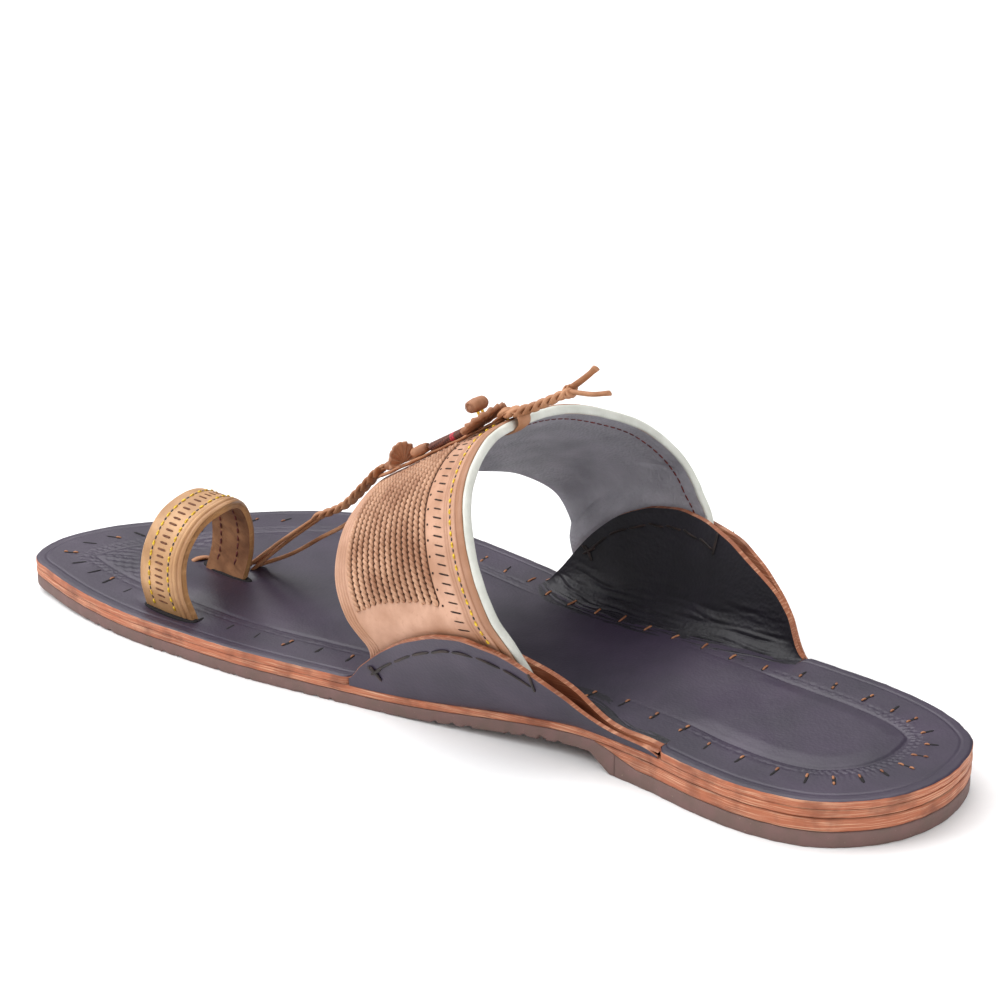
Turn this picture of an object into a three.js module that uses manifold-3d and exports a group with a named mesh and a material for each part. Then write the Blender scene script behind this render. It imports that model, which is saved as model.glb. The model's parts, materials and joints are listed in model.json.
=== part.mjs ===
// Kolhapuri toe-ring sandal for the right foot, in millimetres, +Z up.
// The design frame has the heel back at y = 0, the toe towards +Y and the outer side of the foot
// at +X. The finished group is moved so that its origin is the bottom centre of its bounding box.
import * as THREE from 'three';
import { mergeVertices } from 'three/addons/utils/BufferGeometryUtils.js';
import Module from 'manifold-3d';

const wasm = await Module();
wasm.setup();

// ---- driving dimensions
const soleLength = 280;
const footbedThickness = 2.4;
const midsoleThickness = 2.4;
const heelLiftThickness = 3.7;
const heelRubberThickness = 4.4;
const foreRubberThickness = 3.6;
const layerGap = 0.3; // glue line between neighbouring pieces
const waistStart = 80; // the sole comes down from heel height to ball height between these
const waistEnd = 150;
const toeSpring = 2.0;
const toeSpringStart = 215;
const heelLiftSkiveStart = 69; // the lift thins out forwards from here
const heelLiftFront = 82;
const breastSeam = 75.6; // seam between heel rubber and outsole rubber
const breastFoot = 77.4; // the outsole's thick end rises from the ground between these
const breastTop = 84;

const earLeather = 1.7; // outer ear, measured across the sandal
const pocketClearance = 0.5;
const strapThickness = 3.0;
const strapLean = 1.15; // how much wider a leaning wall measures across the sandal
const strapFreeAbove = 9; // height over an ear's top at which the strap has left the pocket
const strapCrownHalfWidth = 25; // the strap's crown lies between these, well clear of both ears
const wingLeather = 2.3; // the footbed leather turned up inside each ear
const wingFoldRadius = 8;
const earReferenceHeight = 22; // height at which the lean table is stated
const leanExponent = 0.8;

const ringThickness = 2.4;
const ringSlot = { depth: 1.2, margin: 0.35, bandLean: 0.9, height: 4 };
const postHole = { width: 5.5, length: 3.6, height: 4, forward: 0.6, lift: 1.0 };
const thongWidth = 1.8;
const thongHeight = 1.2;
const plaitWidth = 5.0;
const plaitHeight = 3.2;

// ---- the sole's outline: one row per station, from the heel to the toe
const outlineRows = [
  { y: 3.2, medial: -12.2, lateral: 19.4 },
  { y: 10, medial: -22.4, lateral: 26.2 },
  { y: 20, medial: -30.2, lateral: 31.0 },
  { y: 35, medial: -34.0, lateral: 34.1 },
  { y: 50, medial: -33.8, lateral: 34.9 },
  { y: 66, medial: -31.8, lateral: 35.4 },
  { y: 88, medial: -31.2, lateral: 36.6 },
  { y: 110, medial: -34.8, lateral: 39.0 },
  { y: 130, medial: -39.0, lateral: 42.0 },
  { y: 150, medial: -42.9, lateral: 45.2 },
  { y: 170, medial: -46.8, lateral: 48.0 },
  { y: 190, medial: -50.2, lateral: 49.7 },
  { y: 210, medial: -51.9, lateral: 47.6 },
  { y: 230, medial: -52.8, lateral: 40.4 },
  { y: 250, medial: -51.4, lateral: 23.2 },
  { y: 266, medial: -48.3, lateral: 0.4 },
  { y: 276, medial: -44.9, lateral: -16.2 },
];
const heelBack = { x: 2.5, y: 0 };
const toeTip = { x: -33.5, y: soleLength };

// ---- the ears: height of each layer's top above the ground and its outward lean
// lean is how far the ear stands outside the sole's edge at the reference height.
const medialEarRows = [
  { y: 62, outer: 11.6, wing: 13.4, lean: 0.5 },
  { y: 68, outer: 12.2, wing: 13.4, lean: 3.0 },
  { y: 74, outer: 13.0, wing: 13.7, lean: 6.0 },
  { y: 80, outer: 14.6, wing: 14.8, lean: 8.0 },
  { y: 85, outer: 17.6, wing: 17.6, lean: 9.5 },
  { y: 90, outer: 22.2, wing: 21.4, lean: 10.8 },
  { y: 95, outer: 27.2, wing: 24.4, lean: 11.5 },
  { y: 102, outer: 31.8, wing: 27.8, lean: 11.7 },
  { y: 112, outer: 33.8, wing: 30.6, lean: 11.3 },
  { y: 122, outer: 31.6, wing: 29.6, lean: 9.6 },
  { y: 134, outer: 25.6, wing: 24.4, lean: 6.4 },
  { y: 143, outer: 19.2, wing: 18.2, lean: 3.6 },
  { y: 150, outer: 12.8, wing: 12.6, lean: 1.2 },
  { y: 154, outer: 8.4, wing: 9.0, lean: 0.5 },
];
const lateralEarRows = [
  { y: 60.5, outer: 13.4, wing: 14.4, lean: 1.0 },
  { y: 65, outer: 19.6, wing: 20.9, lean: 3.2 },
  { y: 72, outer: 26.0, wing: 27.2, lean: 5.8 },
  { y: 80, outer: 30.8, wing: 31.2, lean: 8.0 },
  { y: 90, outer: 34.2, wing: 35.8, lean: 10.6 },
  { y: 100, outer: 35.4, wing: 38.4, lean: 11.4 },
  { y: 110, outer: 36.2, wing: 39.2, lean: 11.0 },
  { y: 120, outer: 35.2, wing: 37.3, lean: 9.8 },
  { y: 130, outer: 31.6, wing: 32.6, lean: 8.2 },
  { y: 138, outer: 26.6, wing: 24.9, lean: 6.4 },
  { y: 144, outer: 19.2, wing: 15.8, lean: 4.6 },
  { y: 148, outer: 13.0, wing: 10.4, lean: 3.4 },
  { y: 151, outer: 9.2, wing: 9.0, lean: 2.8 },
];

// ---- the vamp strap: one row per line across its width, from the medial to the lateral foot
const strapRows = [
  { name: 'medial foot', rear: [-37, 97.0, 19.0], front: [-41, 148.6, 11.6] },
  { name: 'medial ear line', rear: [-41, 98.6, 27.4], front: [-42, 148.8, 17.5] },
  { name: 'medial side', rear: [-46.9, 103.2, 41.0], front: [-42.2, 156.0, 24.5] },
  { name: 'medial shoulder', rear: [-45.6, 110.9, 55.2], front: [-38.9, 162.6, 32.8] },
  { name: 'medial crown', rear: [-37.0, 119.5, 68.6], front: [-29.6, 168.3, 41.4] },
  { name: 'medial top', rear: [-22.0, 124.6, 77.1], front: [-18.5, 171.2, 46.4] },
  { name: 'ridge', rear: [-6.0, 125.6, 78.5], front: [-6.0, 172.9, 49.0] },
  { name: 'lateral top', rear: [12.0, 124.6, 76.8], front: [11.5, 171.8, 48.0] },
  { name: 'lateral crown', rear: [28.0, 121.4, 71.2], front: [28.0, 168.6, 44.2] },
  { name: 'lateral shoulder', rear: [41.0, 117.0, 63.8], front: [43.3, 164.0, 39.4] },
  { name: 'lateral side', rear: [49.9, 110.2, 52.0], front: [52.6, 157.4, 31.6] },
  { name: 'lateral ear line', rear: [48.6, 101.4, 38.2], front: [49.0, 146.6, 20.8] },
  { name: 'lateral foot', rear: [43.0, 97.0, 25.0], front: [44.5, 142.0, 12.6] },
];

// ---- the toe ring: one row per line across the band, medial foot to lateral foot
const ringRows = [
  { x: -45.2, z: 7.8, rear: 211.0, front: 229.4 },
  { x: -46.7, z: 16.5, rear: 213.0, front: 229.8 },
  { x: -44.9, z: 26.5, rear: 214.0, front: 229.6 },
  { x: -38.6, z: 35.2, rear: 212.8, front: 228.6 },
  { x: -29.6, z: 38.9, rear: 211.0, front: 226.8 },
  { x: -20.4, z: 35.6, rear: 213.6, front: 228.0 },
  { x: -14.8, z: 26.5, rear: 215.6, front: 230.6 },
  { x: -13.4, z: 16.5, rear: 217.4, front: 232.2 },
  { x: -14.2, z: 7.8, rear: 219.6, front: 234.4 },
];

// ---- the centre line: toe post, plait and ornaments
const centreX = -8.5;
const toePost = { x: centreX, y: 223.5, z: 9.4 };
const ridgeRear = { y: 125.6, z: 78.5 };
const ridgeFront = { y: 172.9, z: 49.0 };
const plaitFront = [
  [centreX, 197, 31.6],
  [centreX, 186, 38.0],
  [centreX, 178.2, 45.8],
  [centreX, 171.8, 52.9],
];
const stripThickness = 1.0;
const stripWidth = 4.6;
const stripFrom = 168.8; // the flat strip lies on the strap's ridge between these
const stripTo = 128.4;
const plaitRear = [
  [centreX, 127.8, 79.8],
  [centreX, 122.6, 81.7],
  [centreX, 115.6, 84.7],
  [centreX, 107.0, 89.9],
];
const tails = [
  { name: 'plait_tail_long', path: [[-7.4, 106.4, 91.4], [-8.2, 103.0, 94.4], [-8.8, 99.6, 97.6]] },
  { name: 'plait_tail_short', path: [[-9.8, 105.8, 90.0], [-9.2, 100.6, 90.4], [-8.6, 95.2, 91.8]] },
];
const rearRosette = { radius: 6.6, y: 134.6 };
const frontRosette = { radius: 5.6, y: 163.4, leanBack: 0.25 };
const rosetteThickness = 0.9;
const rosetteLobes = 16;
const lobeDepth = 0.45;
const samplesPerLobe = 4;
const button = { length: 6.4, radius: 1.8 };
const pin = { radius: 0.9, length: 1.5 };
const beads = [
  { name: 'bead_front', y: 167.4, length: 3.6, radius: 1.3 },
  { name: 'bead_rear', y: 156.6, length: 6.4, radius: 1.4 },
];

// ---- materials
function finish(color, roughness, metalness = 0) {
  return new THREE.MeshStandardMaterial({ color, roughness, metalness });
}
const plumLeather = () => finish(0x3b3038, 0.45);
const edgeLeather = () => finish(0xb5673f, 0.6);
const vegTanLeather = () => finish(0xc99a6c, 0.6);
const thongLeather = () => finish(0x9c6b4a, 0.7);
const rubber = () => finish(0x6e5f52, 0.85);
const brass = () => finish(0xc9a23a, 0.3, 1);

// ---- small helpers
const clamp01 = (value) => Math.min(1, Math.max(0, value));
const smooth = (low, high, value) => {
  const t = clamp01((value - low) / (high - low));
  return t * t * (3 - 2 * t);
};
const point = (values) => new THREE.Vector3(...values);

function lookUp(rows, y, column) {
  const last = rows.length - 1;
  if (y <= rows[0].y) return rows[0][column];
  if (y >= rows[last].y) return rows[last][column];
  const i = rows.findIndex((row) => row.y > y) - 1;
  const share = (y - rows[i].y) / (rows[i + 1].y - rows[i].y);
  return THREE.MathUtils.lerp(rows[i][column], rows[i + 1][column], share);
}

// Height of the footbed's top above the ground.
function footbedTop(y) {
  const heelHeight = heelRubberThickness + heelLiftThickness + midsoleThickness + footbedThickness;
  const ballHeight = foreRubberThickness + midsoleThickness + footbedThickness;
  const spring = toeSpring * clamp01((y - toeSpringStart) / (soleLength - toeSpringStart)) ** 2;
  return THREE.MathUtils.lerp(heelHeight, ballHeight, smooth(waistStart, waistEnd, y)) + spring;
}

// ---- manifold conversions
const weldDistance = 1e-4;

function toSolid(geometry) {
  const bare = geometry.clone();
  bare.deleteAttribute('normal');
  bare.deleteAttribute('uv');
  const merged = mergeVertices(bare, weldDistance);
  return new wasm.Manifold(new wasm.Mesh({
    numProp: 3,
    vertProperties: new Float32Array(merged.attributes.position.array),
    triVerts: new Uint32Array(merged.index.array),
  }));
}

function toGeometry(solid) {
  const mesh = solid.getMesh();
  const geometry = new THREE.BufferGeometry();
  geometry.setAttribute('position', new THREE.BufferAttribute(mesh.vertProperties, 3));
  geometry.setIndex(new THREE.BufferAttribute(mesh.triVerts, 1));
  geometry.computeVertexNormals();
  return geometry;
}

// ---- closed sheets
// Two grids of points, face and back, become one closed body with its rim walls.
function sheetBody(face, back) {
  const rows = face.length;
  const columns = face[0].length;
  const positions = [];
  for (const grid of [face, back]) {
    for (const row of grid) row.forEach((p) => positions.push(p.x, p.y, p.z));
  }
  const index = (side, j, k) => side * rows * columns + j * columns + k;
  const triangles = [];
  const quad = (a, b, c, d) => triangles.push(a, b, c, a, c, d);
  for (let j = 0; j < rows - 1; j += 1) {
    for (let k = 0; k < columns - 1; k += 1) {
      quad(index(0, j, k), index(0, j + 1, k), index(0, j + 1, k + 1), index(0, j, k + 1));
      quad(index(1, j, k), index(1, j, k + 1), index(1, j + 1, k + 1), index(1, j + 1, k));
    }
  }
  const rim = [];
  for (let k = 0; k < columns - 1; k += 1) rim.push([0, k]);
  for (let j = 0; j < rows - 1; j += 1) rim.push([j, columns - 1]);
  for (let k = columns - 1; k > 0; k -= 1) rim.push([rows - 1, k]);
  for (let j = rows - 1; j > 0; j -= 1) rim.push([j, 0]);
  rim.forEach(([j, k], i) => {
    const [nextJ, nextK] = rim[(i + 1) % rim.length];
    quad(index(0, j, k), index(0, nextJ, nextK), index(1, nextJ, nextK), index(1, j, k));
  });
  const geometry = new THREE.BufferGeometry();
  geometry.setAttribute('position', new THREE.Float32BufferAttribute(positions, 3));
  geometry.setIndex(triangles);
  return signedVolume(geometry) < 0 ? flipped(geometry) : geometry;
}

function signedVolume(geometry) {
  const places = geometry.attributes.position;
  const corners = geometry.index.array;
  const [a, b, c] = [new THREE.Vector3(), new THREE.Vector3(), new THREE.Vector3()];
  let volume = 0;
  for (let i = 0; i < corners.length; i += 3) {
    a.fromBufferAttribute(places, corners[i]);
    b.fromBufferAttribute(places, corners[i + 1]);
    c.fromBufferAttribute(places, corners[i + 2]);
    volume += a.dot(b.cross(c)) / 6;
  }
  return volume;
}

function flipped(geometry) {
  const corners = Array.from(geometry.index.array);
  for (let i = 0; i < corners.length; i += 3) {
    [corners[i], corners[i + 1]] = [corners[i + 1], corners[i]];
  }
  geometry.setIndex(corners);
  return geometry;
}

// Surface normals of a grid, from the differences between neighbouring points.
function gridNormals(grid) {
  const rows = grid.length;
  const columns = grid[0].length;
  return grid.map((row, j) => row.map((_, k) => {
    const along = grid[Math.min(j + 1, rows - 1)][k].clone().sub(grid[Math.max(j - 1, 0)][k]);
    const across = grid[j][Math.min(k + 1, columns - 1)].clone().sub(grid[j][Math.max(k - 1, 0)]);
    return along.cross(across).normalize();
  }));
}

function offsetGrid(grid, distance) {
  const normals = gridNormals(grid);
  return grid.map((row, j) => row.map((p, k) => p.clone().addScaledVector(normals[j][k], distance)));
}

// ---- the sole stack
// The sole's plan outline, shared by every layer.
function outlineShape() {
  const pointCount = 100;
  const medial = outlineRows.map((row) => new THREE.Vector3(row.medial, row.y, 0));
  const lateral = outlineRows.map((row) => new THREE.Vector3(row.lateral, row.y, 0));
  const heel = new THREE.Vector3(heelBack.x, heelBack.y, 0);
  const toe = new THREE.Vector3(toeTip.x, toeTip.y, 0);
  const loop = [heel, ...lateral, toe, ...medial.reverse()];
  const curve = new THREE.CatmullRomCurve3(loop, true, 'centripetal');
  const points = curve.getSpacedPoints(pointCount).slice(0, pointCount);
  return new THREE.Shape(points.map((p) => new THREE.Vector2(p.x, p.y)));
}

function outlinePrism(shape) {
  const height = 30;
  return toSolid(new THREE.ExtrudeGeometry(shape, { depth: height, bevelEnabled: false, steps: 1 }));
}

// A slab across the whole width, with its side view given by bottom and top heights along y.
function sideSlab(stations, bottom, top) {
  const halfWidth = 80;
  const lower = stations.map((y) => new THREE.Vector2(y, bottom(y)));
  const upper = stations.map((y) => new THREE.Vector2(y, top(y))).reverse();
  const shape = new THREE.Shape([...lower, ...upper]);
  const geometry = new THREE.ExtrudeGeometry(shape, { depth: 2 * halfWidth, bevelEnabled: false });
  // extrusion runs along +Z with the side view in XY: turn it so that x -> y, y -> z, z -> x
  geometry.applyMatrix4(new THREE.Matrix4().set(0, 0, 1, -halfWidth, 1, 0, 0, 0, 0, 1, 0, 0, 0, 0, 0, 1));
  return toSolid(geometry);
}

// Stations along the sole where the side view bends, shared by every layer.
const breastBends = [
  heelLiftSkiveStart,
  breastSeam,
  breastSeam + layerGap,
  breastFoot,
  waistStart,
  heelLiftFront,
  heelLiftFront + layerGap,
  breastTop,
];
const waistBends = [88, 96, 104, 112, 120, 128, 136, 144, waistEnd];
const toeBends = [toeSpringStart, 235, 250, 262, 272];

function stationList(from, to) {
  const inside = [...breastBends, ...waistBends, ...toeBends].filter((y) => y > from && y < to);
  return [from, ...inside, to];
}

// Side views run past both ends, and the outline cuts them to length.
const overrun = 5;
const heelEnd = -overrun;
const toeEnd = soleLength + overrun;
const midsoleTop = (y) => footbedTop(y) - footbedThickness - layerGap;
const midsoleBottom = (y) => footbedTop(y) - footbedThickness - midsoleThickness;
const liftBottom = (y) => {
  const rise = clamp01((y - heelLiftSkiveStart) / (heelLiftFront - heelLiftSkiveStart));
  return THREE.MathUtils.lerp(heelRubberThickness, midsoleBottom(y) - layerGap * 2, rise);
};
const rubberTop = (y) => (y <= heelLiftFront ? liftBottom(y) - layerGap : midsoleBottom(y) - layerGap);
const outsoleBottom = (y) => {
  const worn = clamp01((y - breastFoot) / (breastTop - breastFoot));
  const raised = footbedTop(y) - footbedThickness - midsoleThickness - foreRubberThickness;
  return Math.max(0, y < breastTop ? raised * worn : raised);
};

function layer(stations, bottom, top) {
  return outlinePrism(outlineShape()).intersect(sideSlab(stations, bottom, top));
}

function makeOutsole() {
  const stations = stationList(breastSeam + layerGap, toeEnd);
  return toGeometry(layer(stations, outsoleBottom, rubberTop));
}

function makeHeelTopPiece() {
  return toGeometry(layer(stationList(heelEnd, breastSeam), () => 0, rubberTop));
}

function makeHeelLift() {
  const stations = stationList(heelEnd, heelLiftFront);
  return toGeometry(layer(stations, liftBottom, (y) => midsoleBottom(y) - layerGap));
}

function makeMidsole() {
  return toGeometry(layer(stationList(heelEnd, toeEnd), midsoleBottom, midsoleTop));
}

// ---- the ears
const ears = {
  medial: { side: -1, rows: medialEarRows, edge: 'medial', strapFrom: 86, strapTo: 95 },
  lateral: { side: 1, rows: lateralEarRows, edge: 'lateral', strapFrom: 84, strapTo: 94 },
};

// Across position of an ear's outer face at height z.
function earFace(ear, y, z) {
  const rise = Math.max(0, (z - midsoleTop(y)) / earReferenceHeight);
  return lookUp(outlineRows, y, ear.edge) + ear.side * lookUp(ear.rows, y, 'lean') * rise ** leanExponent;
}

// How far inside the ear's outer face the turned-up footbed leather stands.
function wingOffset(ear, y) {
  const closed = earLeather + pocketClearance;
  const open = closed + strapThickness * strapLean + 2 * pocketClearance;
  return THREE.MathUtils.lerp(closed, open, smooth(ear.strapFrom, ear.strapTo, y));
}

function earStations(ear) {
  const stations = [];
  ear.rows.forEach((row, i) => {
    stations.push(row.y);
    if (i < ear.rows.length - 1) stations.push((row.y + ear.rows[i + 1].y) / 2);
  });
  return stations;
}

function earGrid(ear, column, bottom, offset, levels) {
  const leastHeight = 0.5;
  return earStations(ear).map((y) => {
    const low = bottom(y);
    const high = Math.max(low + leastHeight, lookUp(ear.rows, y, column));
    return Array.from({ length: levels }, (_, k) => {
      const z = THREE.MathUtils.lerp(low, high, k / (levels - 1));
      return new THREE.Vector3(earFace(ear, y, z) - ear.side * offset(y, z), y, z);
    });
  });
}

function makeOuterEar(ear) {
  const levels = 5;
  const bottom = (y) => midsoleTop(y) + layerGap;
  const face = earGrid(ear, 'outer', bottom, () => 0, levels);
  const back = earGrid(ear, 'outer', bottom, () => earLeather, levels);
  return sheetBody(face, back);
}

// The footbed's leather turned up inside an ear, from just above the footbed's flat part.
function makeWing(ear) {
  const levels = 7;
  const leastStanding = 0.1;
  const bottom = (y) => footbedTop(y) + layerGap;
  const fold = (y, z) => {
    const standing = Math.max(leastStanding, lookUp(ear.rows, y, 'wing') - footbedTop(y));
    const radius = Math.min(wingFoldRadius, standing);
    const left = clamp01(1 - (z - footbedTop(y)) / radius);
    return radius * (1 - Math.sqrt(1 - left * left));
  };
  const face = earGrid(ear, 'wing', bottom, (y) => wingOffset(ear, y), levels);
  const back = earGrid(ear, 'wing', bottom, (y, z) => wingOffset(ear, y) + wingLeather + fold(y, z), levels);
  return sheetBody(face, back);
}

// ---- the footbed
const earInset = earLeather + pocketClearance;

// The strip of the footbed's edge that the outer ear takes the place of.
function earNotch(ear) {
  const endRoom = 1;
  const step = 6;
  const reach = 20;
  const from = ear.rows[0].y - endRoom;
  const to = ear.rows[ear.rows.length - 1].y + endRoom;
  const stations = [];
  for (let y = from; y < to; y += step) stations.push(y);
  stations.push(to);
  const outside = ear.side * reach;
  const edge = (y) => lookUp(outlineRows, y, ear.edge);
  const inner = stations.map((y) => new THREE.Vector2(edge(y) - ear.side * earInset, y));
  const outer = stations.map((y) => new THREE.Vector2(edge(y) + outside, y)).reverse();
  return outlinePrism(new THREE.Shape([...inner, ...outer]));
}

function slotBox(centre, size) {
  const box = new THREE.BoxGeometry(...size);
  box.translate(...centre);
  return toSolid(box);
}

// The two slots that the toe ring's feet are let into.
function ringSlots() {
  const { depth, margin, bandLean, height } = ringSlot;
  return [ringRows[0], ringRows[ringRows.length - 1]].map((row, i) => {
    const inward = i === 0 ? 1 : -1;
    const z = footbedTop(row.rear) - depth - margin + height / 2;
    const centre = [row.x + inward * (ringThickness / 2), (row.rear + row.front) / 2, z];
    const width = ringThickness + 2 * margin + bandLean;
    return slotBox(centre, [width, row.front - row.rear + 2 * margin, height]);
  });
}

function makeFootbed() {
  const stations = stationList(heelEnd, toeEnd);
  let solid = layer(stations, (y) => footbedTop(y) - footbedThickness, footbedTop);
  for (const ear of Object.values(ears)) solid = solid.subtract(earNotch(ear));
  for (const slot of ringSlots()) solid = solid.subtract(slot);
  const { width, length, height, forward, lift } = postHole;
  const holeCentre = [toePost.x, toePost.y + forward, footbedTop(toePost.y) + lift];
  return toGeometry(solid.subtract(slotBox(holeCentre, [width, length, height])));
}

// ---- the vamp strap
function makeStrap() {
  const across = 40;
  const along = 8;
  const rims = ['rear', 'front'].map((rim) => {
    const places = strapRows.map((row) => point(row[rim]));
    const curve = new THREE.CatmullRomCurve3(places, false, 'centripetal');
    return Array.from({ length: across + 1 }, (_, i) => curve.getPoint(i / across));
  });
  const face = [];
  for (let i = 0; i <= across; i += 1) {
    const line = [];
    for (let j = 0; j <= along; j += 1) {
      line.push(intoPocket(rims[0][i].clone().lerp(rims[1][i], j / along)));
    }
    face.push(line);
  }
  const inward = gridNormals(face)[across / 2][along / 2].z > 0 ? -1 : 1;
  return sheetBody(face, offsetGrid(face, inward * strapThickness));
}

// Below an ear's top the strap follows the pocket between the outer ear and the turned-up leather.
function intoPocket(p) {
  const ear = p.x < 0 ? ears.medial : ears.lateral;
  const top = lookUp(ear.rows, p.y, 'outer');
  const pocketX = earFace(ear, p.y, p.z) - ear.side * earInset;
  const share = smooth(top, top + strapFreeAbove, p.z);
  const sideways = Math.abs(p.x) > strapCrownHalfWidth ? 1 : 0;
  return new THREE.Vector3(THREE.MathUtils.lerp(p.x, pocketX, (1 - share) * sideways), p.y, p.z);
}

// ---- the toe ring
function makeToeRing() {
  const across = 26;
  const [rearCurve, frontCurve] = ['rear', 'front'].map((rim) => (
    new THREE.CatmullRomCurve3(ringRows.map((row) => new THREE.Vector3(row.x, row[rim], row.z)))
  ));
  const face = [];
  for (let i = 0; i <= across; i += 1) {
    const rear = rearCurve.getPoint(i / across);
    const front = frontCurve.getPoint(i / across);
    face.push([rear, rear.clone().lerp(front, 0.5), front]);
  }
  const inward = gridNormals(face)[across / 2][1].z > 0 ? -1 : 1;
  return sheetBody(face, offsetGrid(face, inward * ringThickness));
}

// ---- thongs, plaits and tails
// A strip of oval section swept along a path.
function strip(path, { width, height, steps, sides }) {
  const curve = new THREE.CatmullRomCurve3(path.map(point), false, 'centripetal');
  const section = new THREE.Shape();
  for (let i = 0; i < sides; i += 1) {
    const angle = ((i + 0.5) / sides) * 2 * Math.PI;
    // these paths run up and along the sandal, so the section's first axis lies across it
    const corner = [(width / 2) * Math.cos(angle), (height / 2) * Math.sin(angle)];
    if (i === 0) section.moveTo(...corner);
    else section.lineTo(...corner);
  }
  const geometry = new THREE.ExtrudeGeometry(section, { steps, extrudePath: curve, bevelEnabled: false });
  return toGeometry(toSolid(geometry));
}

// fan is where a thong lies across the bundle half way along; pair and level place it in the two by
// two bundle at either end; sag is how far it hangs below the straight line.
const thongs = [
  { name: 'toe_thong_1', fan: -3.6, pair: -1.1, level: 0.9, sag: 0 },
  { name: 'toe_thong_2', fan: -1.2, pair: -1.1, level: -0.9, sag: 1.2 },
  { name: 'toe_thong_3', fan: 1.2, pair: 1.1, level: 0.9, sag: 0 },
  { name: 'toe_thong_4', fan: 3.6, pair: 1.1, level: -0.9, sag: 2.6 },
];

// The bundle leans: a step up in level also moves a thong this far along and up.
const bundleStep = { along: 0.5, up: 0.8 };
const bundleEnd = { ahead: 1.0, below: 0.9 }; // the bundle stops short of the plait by this much

function thongPath(thong) {
  const meet = plaitFront[0];
  const along = thong.level * bundleStep.along;
  const up = thong.level * bundleStep.up;
  const start = [toePost.x + thong.pair, toePost.y + along, toePost.z + up];
  const middle = [
    centreX + thong.fan,
    (toePost.y + meet[1]) / 2,
    (toePost.z + meet[2]) / 2 - thong.sag,
  ];
  const end = [
    centreX + thong.pair,
    meet[1] + bundleEnd.ahead + along,
    meet[2] - bundleEnd.below + up,
  ];
  return [start, middle, end];
}

// ---- ornaments
// A scallop-edged leather disc in its own XY plane; a half disc stands on its flat side.
function rosette(radius, half = false) {
  const points = [];
  const sweep = half ? Math.PI : 2 * Math.PI;
  const samples = (rosetteLobes * samplesPerLobe) / (half ? 2 : 1);
  for (let i = 0; i < samples + (half ? 1 : 0); i += 1) {
    const angle = (i / samples) * sweep;
    const reach = radius + lobeDepth * Math.cos(rosetteLobes * angle);
    points.push(new THREE.Vector2(reach * Math.cos(angle), reach * Math.sin(angle)));
  }
  const shape = new THREE.Shape(points);
  return new THREE.ExtrudeGeometry(shape, { depth: rosetteThickness, bevelEnabled: false });
}

// A turned body of revolution about its own Y axis, closed on the axis.
function turned(profile, segments) {
  return toGeometry(toSolid(new THREE.LatheGeometry(profile.map((p) => new THREE.Vector2(...p)), segments)));
}

function bead(length, radius) {
  const endRadius = radius * 0.55;
  const belly = length * 0.2; // the full radius is held over this much each side of the middle
  return turned([
    [0, -length / 2],
    [endRadius, -length / 2],
    [radius, -belly],
    [radius, belly],
    [endRadius, length / 2],
    [0, length / 2],
  ], 10);
}

function post(radius, length) {
  return turned([[0, -length / 2], [radius, -length / 2], [radius, length / 2], [0, length / 2]], 12);
}

// ---- assembly
const group = new THREE.Group();

function addPiece(name, geometry, material, parent = group) {
  const mesh = new THREE.Mesh(geometry, material);
  mesh.name = name;
  parent.add(mesh);
  return mesh;
}

addPiece('outsole', makeOutsole(), rubber());
addPiece('heel_top_piece', makeHeelTopPiece(), rubber());
addPiece('heel_lift', makeHeelLift(), edgeLeather());
addPiece('midsole', makeMidsole(), edgeLeather());
addPiece('footbed', makeFootbed(), plumLeather());
addPiece('footbed_wing_medial', makeWing(ears.medial), plumLeather());
addPiece('footbed_wing_lateral', makeWing(ears.lateral), plumLeather());
addPiece('outer_ear_medial', makeOuterEar(ears.medial), plumLeather());
addPiece('outer_ear_lateral', makeOuterEar(ears.lateral), plumLeather());
addPiece('vamp_strap', makeStrap(), vegTanLeather());
addPiece('toe_ring', makeToeRing(), vegTanLeather());

const plaitSection = { width: plaitWidth, height: plaitHeight, steps: 8, sides: 8 };
const thongSection = { width: thongWidth, height: thongHeight, steps: 8, sides: 6 };
const tailSection = { ...thongSection, steps: 6 };
for (const thong of thongs) {
  addPiece(thong.name, strip(thongPath(thong), thongSection), thongLeather());
}
addPiece('plait_front', strip(plaitFront, plaitSection), thongLeather());
addPiece('plait_rear', strip(plaitRear, plaitSection), thongLeather());
for (const tail of tails) {
  addPiece(tail.name, strip(tail.path, tailSection), thongLeather());
}

// What lies on the strap's ridge is placed in a frame whose +Y runs down the ridge to the toe and
// whose +Z stands square to the strap.
const ridgeSlope = (ridgeFront.z - ridgeRear.z) / (ridgeFront.y - ridgeRear.y);
function ridgeFrame(y) {
  const frame = new THREE.Group();
  frame.position.set(centreX, y, ridgeRear.z + (y - ridgeRear.y) * ridgeSlope + layerGap);
  frame.rotation.x = Math.atan(ridgeSlope);
  group.add(frame);
  return frame;
}

const stripLength = (stripFrom - stripTo) * Math.hypot(1, ridgeSlope);
const stripFrame = ridgeFrame((stripFrom + stripTo) / 2);
const centreStrip = addPiece(
  'centre_strip',
  new THREE.BoxGeometry(stripWidth, stripLength, stripThickness),
  thongLeather(),
  stripFrame,
);
const stripTop = stripThickness + layerGap;
centreStrip.position.z = stripThickness / 2;

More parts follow.
